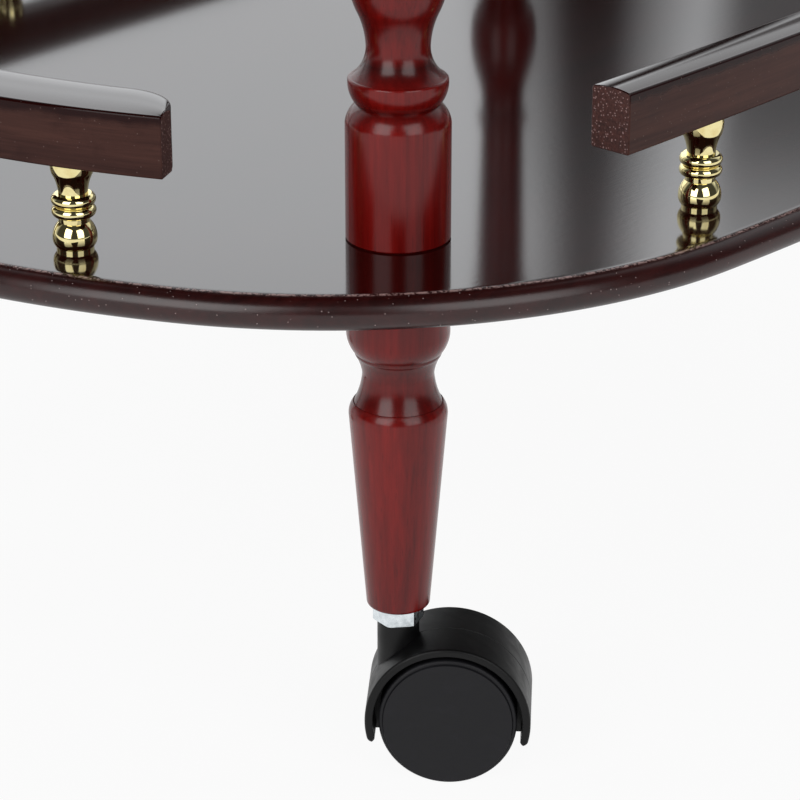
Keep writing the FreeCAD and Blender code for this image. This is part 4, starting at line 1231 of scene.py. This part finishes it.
# ---------------------------------------------------------------- casters
def stem_shape(corner):
    """Threaded stem, hexagon collar with eased corners, and plain pin with its groove."""
    angles = np.radians(COLLAR_TURN) + np.linspace(0, 2 * math.pi, STEM_SEGMENTS, endpoint=False)
    side = 2 * math.pi / COLLAR_SIDES
    flat = COLLAR_FLATS / 2
    hexagon = flat / np.cos((angles - angles[0]) % side - side / 2)
    level = np.minimum(hexagon - COLLAR_EASE, hexagon.max() - COLLAR_CHAMFER)
    eased = np.maximum(COLLAR_EASE, (hexagon - level) / 2)
    collar_z = CASTER_HEIGHT - COLLAR_H
    pin_end = collar_z - STEM_PIN_LENGTH
    groove = pin_end + GRIP_GROOVE_UP
    pin = np.full(STEM_SEGMENTS, STEM_PIN_D / 2)
    thread = np.full(STEM_SEGMENTS, THREAD_D / 2)
    thread_end = CASTER_HEIGHT + STEM_THREAD_LENGTH
    outline = [(pin, pin_end), (pin, groove), (pin - GRIP_GROOVE_DEPTH, groove),
               (pin - GRIP_GROOVE_DEPTH, groove + GRIP_GROOVE_H), (pin, groove + GRIP_GROOVE_H),
               (pin, collar_z), (level, collar_z), (hexagon, collar_z + eased),
               (hexagon, CASTER_HEIGHT - eased), (level, CASTER_HEIGHT), (thread, CASTER_HEIGHT),
               (thread, thread_end)]
    shape = Shape()
    leg = leg_place(corner)
    rings = []
    for radii, height in outline:
        heights = np.broadcast_to(height, radii.shape)
        xs = leg.x + radii * np.cos(angles)
        ys = leg.y + radii * np.sin(angles)
        rings.append(shape.ring(np.column_stack((xs, ys, heights))))
    shape.skin(rings, STEM_SEGMENTS)
    shape.caps((rings[0], rings[-1]), STEM_SEGMENTS)
    return shape


def hood_shape(trail):
    """The curved cover over both wheels, with rounded tips and a mould line."""
    inner = HOOD_R - HOOD_WALL
    half = HOOD_WIDTH / 2
    section = Outline(inner + HOOD_INNER_EASE, -half)
    section.to(HOOD_R - HOOD_ROUND, -half)
    section.bow(HOOD_R, HOOD_ROUND - half, QUARTER_BOW)
    section.line((HOOD_R, -PARTING_WIDTH / 2), (HOOD_R - PARTING_DEPTH, 0.0),
                 (HOOD_R, PARTING_WIDTH / 2), (HOOD_R, half - HOOD_ROUND))
    section.bow(HOOD_R - HOOD_ROUND, half, QUARTER_BOW)
    section.line((inner + HOOD_INNER_EASE, half), (inner, half - HOOD_INNER_EASE),
                 (inner, HOOD_INNER_EASE - half))
    middle = inner + HOOD_WALL / 2
    dip = math.degrees(math.asin(HOOD_DROP / middle))
    tip = []
    for step in range(TIP_STEPS, 0, -1):
        turn = math.radians(TIP_TURN * step / TIP_STEPS)
        tip.append((math.degrees(HOOD_WALL / 2 * math.sin(turn) / middle), math.cos(turn)))
    stations = [(-dip - past, keep) for past, keep in tip]
    stations += [(-dip + (HALF_TURN + 2 * dip) * step / HOOD_STEPS, 1.0) for step in range(HOOD_STEPS + 1)]
    stations += [(HALF_TURN + dip + past, keep) for past, keep in reversed(tip)]
    shape = Shape()
    rings = []
    for bearing, keep in stations:
        angle = math.radians(bearing)
        ring = []
        for radius, across in section.points:
            kept = middle + (radius - middle) * keep
            ring.append((trail + kept * math.cos(angle), across, WHEEL_R + kept * math.sin(angle)))
        rings.append(shape.ring(ring))
    count = len(section.points)
    shape.skin(rings, count)
    shape.caps((rings[0], rings[-1]), count)
    return shape


def web_shape(trail):
    """The housing's middle web: a disc between the wheels, cut level below the axle."""
    radius = HOOD_R - HOOD_WALL / 2
    low = math.degrees(math.asin(WEB_DROP / radius))
    bearings = np.radians(np.linspace(-low, HALF_TURN + low, HOOD_STEPS))
    shape = Shape()
    rings = []
    for across in (-WEB_HALF_WIDTH, WEB_HALF_WIDTH):
        rings.append(shape.ring([
            (trail + radius * math.cos(angle), across, WHEEL_R + radius * math.sin(angle))
            for angle in bearings]))
    shape.skin(rings, HOOD_STEPS)
    shape.caps(rings, HOOD_STEPS)
    return shape


def rod_shape(diameter, bottom, top, ease=0.0):
    """A round bar along Z with an eased top edge."""
    outline = Outline(0.0, bottom)
    outline.line((diameter / 2, bottom), (diameter / 2, top - ease))
    if ease > 0:
        outline.bow(diameter / 2 - ease, top, QUARTER_BOW, TIP_STEPS)
    outline.to(0.0, top)
    shape = Shape()
    shape.lathe(outline.points, segments=LEG_SEGMENTS)
    return shape


def on_axle(trail, side=1):
    """Turns a shape drawn about Z onto the axle's line, its top towards the side's wheel."""
    turn = math.radians(-side * QUARTER_TURN)
    return Matrix.Translation((trail, 0.0, WHEEL_R)) @ Matrix.Rotation(turn, 4, "X")


def housing_mesh(corner):
    """Hood, web and neck in one moulding, bored for the stem's pin and the axle."""
    trail = caster_trail(corner)
    inner_d = 2 * (HOOD_R - HOOD_WALL)
    hollow = rod_shape(inner_d, -HOOD_WIDTH, HOOD_WIDTH).placed(on_axle(trail))
    neck = joined(rod_shape(NECK_D, WHEEL_R, NECK_TOP, NECK_EASE).mesh("neck"), [hollow.mesh("hollow")],
                  "DIFFERENCE")
    body = joined(hood_shape(trail).mesh("hood"), [web_shape(trail).mesh("web"), neck], "UNION")
    pin = rod_shape(PIN_BORE_D, PIN_BORE_BOTTOM, CASTER_HEIGHT)
    axle = rod_shape(AXLE_BORE_D, -HOOD_WIDTH, HOOD_WIDTH).placed(on_axle(trail))
    body = joined(body, [pin.mesh("pin"), axle.mesh("axle")], "DIFFERENCE")
    body.transform(caster_place(corner))
    smoothed(body, HOUSING_CREASE)
    return body


def wheel_shape(corner, side):
    """Moulded wheel on the left (+1) or right (-1) of the web: face, tread and hub."""
    step = WHEEL_FACE_Y - WHEEL_CAP_STEP
    inner_wall = WHEEL_FACE_Y - WHEEL_WALL
    bore_r = AXLE_BORE_D / 2
    tread_r = WHEEL_R - WHEEL_TREAD
    outline = Outline(0.0, inner_wall)
    outline.line((bore_r, inner_wall), (bore_r, WHEEL_INNER_Y), (HUB_D / 2, WHEEL_INNER_Y),
                 (HUB_D / 2, inner_wall), (tread_r, inner_wall), (tread_r, WHEEL_INNER_Y),
                 (WHEEL_R - WHEEL_ROUND, WHEEL_INNER_Y))
    outline.bow(WHEEL_R, WHEEL_INNER_Y + WHEEL_ROUND, QUARTER_BOW)
    outline.to(WHEEL_R, step - WHEEL_ROUND)
    outline.bow(WHEEL_R - WHEEL_ROUND, step, QUARTER_BOW)
    outline.line((WHEEL_CAP_D / 2, step), (WHEEL_CAP_D / 2 - WHEEL_CAP_STEP / 2, WHEEL_FACE_Y),
                 (0.0, WHEEL_FACE_Y))
    shape = Shape()
    shape.lathe(outline.points, segments=WHEEL_SEGMENTS)
    return shape.placed(caster_place(corner) @ on_axle(caster_trail(corner), side))


# ---------------------------------------------------------------- operators
class TROLLEY_OT_shelves(Operator):
    """Make both shelves, with their half-round edges and screw holes"""
    bl_idname = "trolley.shelves"
    bl_label = "Shelves"

    def execute(self, context):
        for tier in TIERS:
            node = tier + "_shelf"
            data = shelf_shape(SHELF_Z[tier]).mesh(node + "_board")
            piece(node + "_board", data, ["shelf_lacquer", "shelf_edge_lacquer"], FIXED_BODY, [node])
        return {"FINISHED"}


class TROLLEY_OT_rails(Operator):
    """Make the gallery rails, with their sawn and eased ends"""
    bl_idname = "trolley.rails"
    bl_label = "Gallery rails"

    def execute(self, context):
        for tier in TIERS:
            for rail in RAILS:
                node = tier + "_" + rail + "_rail"
                data = rail_shape(rail, SHELF_Z[tier] + SHELF_THICK + RAIL_RISE).mesh(node + "_wood")
                slots = ["rail_lacquer", "rail_end_grain", "rail_top_lacquer"]
                piece(node + "_wood", data, slots, FIXED_BODY, [node])
        return {"FINISHED"}


class TROLLEY_OT_spindles(Operator):
    """Make the polished brass spindles under each rail"""
    bl_idname = "trolley.spindles"
    bl_label = "Spindles"

    def execute(self, context):
        for tier in TIERS:
            for rail in RAILS:
                node = tier + "_" + rail + "_spindles"
                data = spindles_shape(rail, SHELF_Z[tier] + SHELF_THICK).mesh(node + "_brass")
                piece(node + "_brass", data, ["polished_brass"], FIXED_BODY, [node])
        return {"FINISHED"}


class TROLLEY_OT_legs(Operator):
    """Turn the feet, posts and finials"""
    bl_idname = "trolley.legs"
    bl_label = "Legs"

    def execute(self, context):
        turned = (("foot", foot_outline(), CASTER_HEIGHT), ("post", post_outline(), POST_Z),
                  ("finial", finial_outline(), FINIAL_Z))
        for corner in CORNERS:
            for kind, outline, bottom in turned:
                node = corner + "_" + kind
                data = turned_shape(outline, corner, bottom).mesh(node + "_wood")
                piece(node + "_wood", data, ["leg_lacquer"], FIXED_BODY, [node])
        return {"FINISHED"}


class TROLLEY_OT_casters(Operator):
    """Make the casters: stems, housings and wheels"""
    bl_idname = "trolley.casters"
    bl_label = "Casters"

    def execute(self, context):
        for corner in CORNERS:
            node = corner + "_caster_stem"
            data = stem_shape(corner).mesh(node + "_zinc")
            piece(node + "_zinc", data, ["zinc_steel"], FIXED_BODY, [node])
            node = corner + "_caster_housing"
            piece(node + "_nylon", housing_mesh(corner), ["black_nylon"], corner + "_caster", [node])
            for name, side in (("left", 1), ("right", -1)):
                node = corner + "_caster_" + name + "_wheel"
                data = wheel_shape(corner, side).mesh(node + "_tread")
                piece(node + "_tread", data, ["black_wheel"], corner + "_" + name + "_wheel", [node])
        return {"FINISHED"}


class TROLLEY_OT_fixings(Operator):
    """Give the screws, inserts, grip rings and axles their plated finish"""
    bl_idname = "trolley.fixings"
    bl_label = "Screws and axles"

    def execute(self, context):
        nodes = [tier + kind for tier in TIERS for kind in ("_gallery_screws", "_leg_screws")]
        nodes += ["stem_inserts", "stem_grip_rings"]
        nodes += [corner + "_caster_axle" for corner in CORNERS]
        for node in nodes:
            for slot in frame["nodes"][node].material_slots:
                slot.material = material("zinc_steel")
        return {"FINISHED"}


class TROLLEY_OT_stage(Operator):
    """Set the floor, the lights, the surroundings and the camera"""
    bl_idname = "trolley.stage"
    bl_label = "Stage"

    def execute(self, context):
        scene = context.scene
        scene.view_settings.view_transform = "Standard"
        set_floor(scene)
        set_world(scene)
        set_lights(scene)
        set_camera(scene)
        return {"FINISHED"}


# ---------------------------------------------------------------- the stage
def view_directions():
    """Level directions ahead of the camera and to its right."""
    angle = math.radians(VIEW_BEARING)
    ahead = Vector((math.sin(angle), math.cos(angle), 0.0))
    return ahead, Vector((ahead.y, -ahead.x, 0.0))


def seen_directly(finish):
    """1 for rays that show a surface as it is: the camera's, mirrored and transmitted ones."""
    rays = finish.node("LightPath", {})
    seen = finish.maths("MAXIMUM", rays.outputs["Is Camera Ray"], rays.outputs["Is Glossy Ray"])
    return finish.maths("MAXIMUM", seen, rays.outputs["Is Transmission Ray"])


def set_floor(scene):
    """A pale floor that keeps the trolley's soft shadow."""
    settings = {"Roughness": FLOOR_ROUGHNESS, "Base Color": scene.trolley_stage.floor}
    finish = Finish("studio_floor", settings)
    glow = finish.node("Emission", {"Color": WHITE, "Strength": 1.0})
    seen = finish.maths("MULTIPLY", seen_directly(finish), FLOOR_GLOW)
    shaders = {0: seen, 1: finish.surface.outputs["BSDF"], 2: glow.outputs["Emission"]}
    both = finish.node("MixShader", shaders)
    finish.feed(finish.tree.nodes["Material Output"].inputs["Surface"], both.outputs["Shader"])
    corners = [(x * FLOOR_REACH, y * FLOOR_REACH, 0.0) for x, y in ((-1, -1), (1, -1), (1, 1), (-1, 1))]
    data = bpy.data.meshes.new("studio_floor")
    data.from_pydata(corners, [], [(0, 1, 2, 3)])
    data.materials.append(finish.material)
    floor = bpy.data.objects.new("studio_floor", data)
    scene.collection.objects.link(floor)


class Surroundings(Finish):
    """The world's shader, built with the same short calls as a material."""

    def __init__(self, name):
        self.world = bpy.data.worlds.new(name)
        self.world.use_nodes = True
        self.tree = self.world.node_tree
        self.surface = self.tree.nodes["Background"]

    def along(self, direction):
        """How far the ray's direction points this way, from -1 to 1."""
        place = self.node("TexCoord", {}).outputs["Generated"]
        made = self.node("VectorMath", {0: place, 1: tuple(direction)}, operation="DOT_PRODUCT")
        return made.outputs["Value"]


def set_world(scene):
    """White for the camera; for light and gloss a bright far side with dark gaps and a dark near side."""
    ahead, right = view_directions()
    world = Surroundings("studio")
    forward = world.along(ahead)
    rise = world.along(UP)
    far = world.span(rise, GAP_RISE, FAR_LEVELS)
    level = world.span(forward, NEAR_AND_FAR, (NEAR_SIDE, far))
    sideways = world.maths("DIVIDE", world.along(right), world.maths("MAXIMUM", forward, LEAST_AHEAD))
    flag = world.maths("MULTIPLY", world.span(sideways, FLAG_EDGE),
                       world.span(rise, FLAG_RISE, FLAG_DEPTHS))
    off_gap = world.maths("ABSOLUTE", world.maths("SUBTRACT", sideways, GAP_PLACE), 0.0)
    off_gap = world.maths("DIVIDE", off_gap, world.span(rise, GAP_RISE, GAP_WIDTHS))
    gap = world.span(off_gap, (GAP_CORE, 1.0), (world.span(rise, GAP_RISE, GAP_DEPTHS), 0.0))
    gap = world.maths("MULTIPLY", world.maths("MAXIMUM", gap, flag), world.span(forward, GAPS_AHEAD))
    level = world.maths("MULTIPLY", level, world.maths("SUBTRACT", 1.0, gap))
    camera = world.node("LightPath", {}).outputs["Is Camera Ray"]
    strength = world.node("Mix", {}, data_type="FLOAT")
    for socket, value in ((0, camera), (2, level), (3, 1.0)):
        world.feed(strength.inputs[socket], value)
    world.wear("Color", world.mix(camera, COOL_WHITE, WHITE))
    world.wear("Strength", strength.outputs[0])
    scene.world = world.world


def set_lights(scene):
    """Two soft boxes behind and beside the camera, a key to its left and a fill to its right."""
    ahead, right = view_directions()
    aim = leg_place(NEAR_CORNER) + Vector((0.0, 0.0, POST_Z))
    stage = scene.trolley_stage
    boxes = (("key", -BOX_SIDE, stage.key_power), ("fill", BOX_SIDE, stage.fill_power))
    for name, side, power in boxes:
        light = bpy.data.lights.new(name, "AREA")
        light.shape = "RECTANGLE"
        light.size = BOX_WIDTH
        light.size_y = BOX_LENGTH
        light.energy = power
        lamp = bpy.data.objects.new(name, light)
        lamp.location = aim + right * side - ahead * BOX_BACK + Vector((0.0, 0.0, BOX_HEIGHT))
        lamp.rotation_euler = (aim - lamp.location).to_track_quat("-Z", "Y").to_euler()
        scene.collection.objects.link(lamp)


def set_camera(scene):
    """The photograph's view of the near leg."""
    ahead, _ = view_directions()
    data = bpy.data.cameras.new("camera")
    data.sensor_width = SENSOR_WIDTH
    data.lens = scene.trolley_stage.lens
    data.clip_start = CLIP_START
    camera = bpy.data.objects.new("camera", data)
    camera.location = leg_place(NEAR_CORNER) - ahead * EYE_DISTANCE + Vector((0.0, 0.0, EYE_HEIGHT))
    to_right = math.atan((FRAME_PIXELS / 2 - LEG_PIXEL_X) / FOCAL_PIXELS)
    tilt = math.radians(QUARTER_TURN - VIEW_PITCH)
    camera.rotation_euler = (tilt, 0.0, -math.radians(VIEW_BEARING) - to_right)
    scene.collection.objects.link(camera)
    scene.camera = camera


# ---------------------------------------------------------------- panel and registration
STEPS = (TROLLEY_OT_shelves, TROLLEY_OT_rails, TROLLEY_OT_spindles, TROLLEY_OT_legs, TROLLEY_OT_casters,
         TROLLEY_OT_fixings, TROLLEY_OT_stage)
SETTINGS = {"trolley_wood": TrolleyWood, "trolley_metal": TrolleyMetal, "trolley_caster": TrolleyCaster,
            "trolley_stage": TrolleyStage}


class TROLLEY_PT_sidebar(Panel):
    """Lists the trolley's settings and steps"""
    bl_label = "Serving trolley"
    bl_space_type = "VIEW_3D"
    bl_region_type = "UI"
    bl_category = "Trolley"

    def draw(self, context):
        for name, group in SETTINGS.items():
            box = self.layout.box()
            for setting in group.__annotations__:
                box.prop(getattr(context.scene, name), setting)
        for step in STEPS:
            self.layout.operator(step.bl_idname)


def register():
    for name, group in SETTINGS.items():
        bpy.utils.register_class(group)
        setattr(bpy.types.Scene, name, PointerProperty(type=group))
    for step in STEPS + (TROLLEY_PT_sidebar,):
        bpy.utils.register_class(step)


def unregister():
    for step in STEPS + (TROLLEY_PT_sidebar,):
        bpy.utils.unregister_class(step)
    for name, group in SETTINGS.items():
        delattr(bpy.types.Scene, name)
        bpy.utils.unregister_class(group)


def main():
    register()
    for step in STEPS:
        group, name = step.bl_idname.split(".")
        getattr(getattr(bpy.ops, group), name)()


if __name__ == "__main__":
    main()
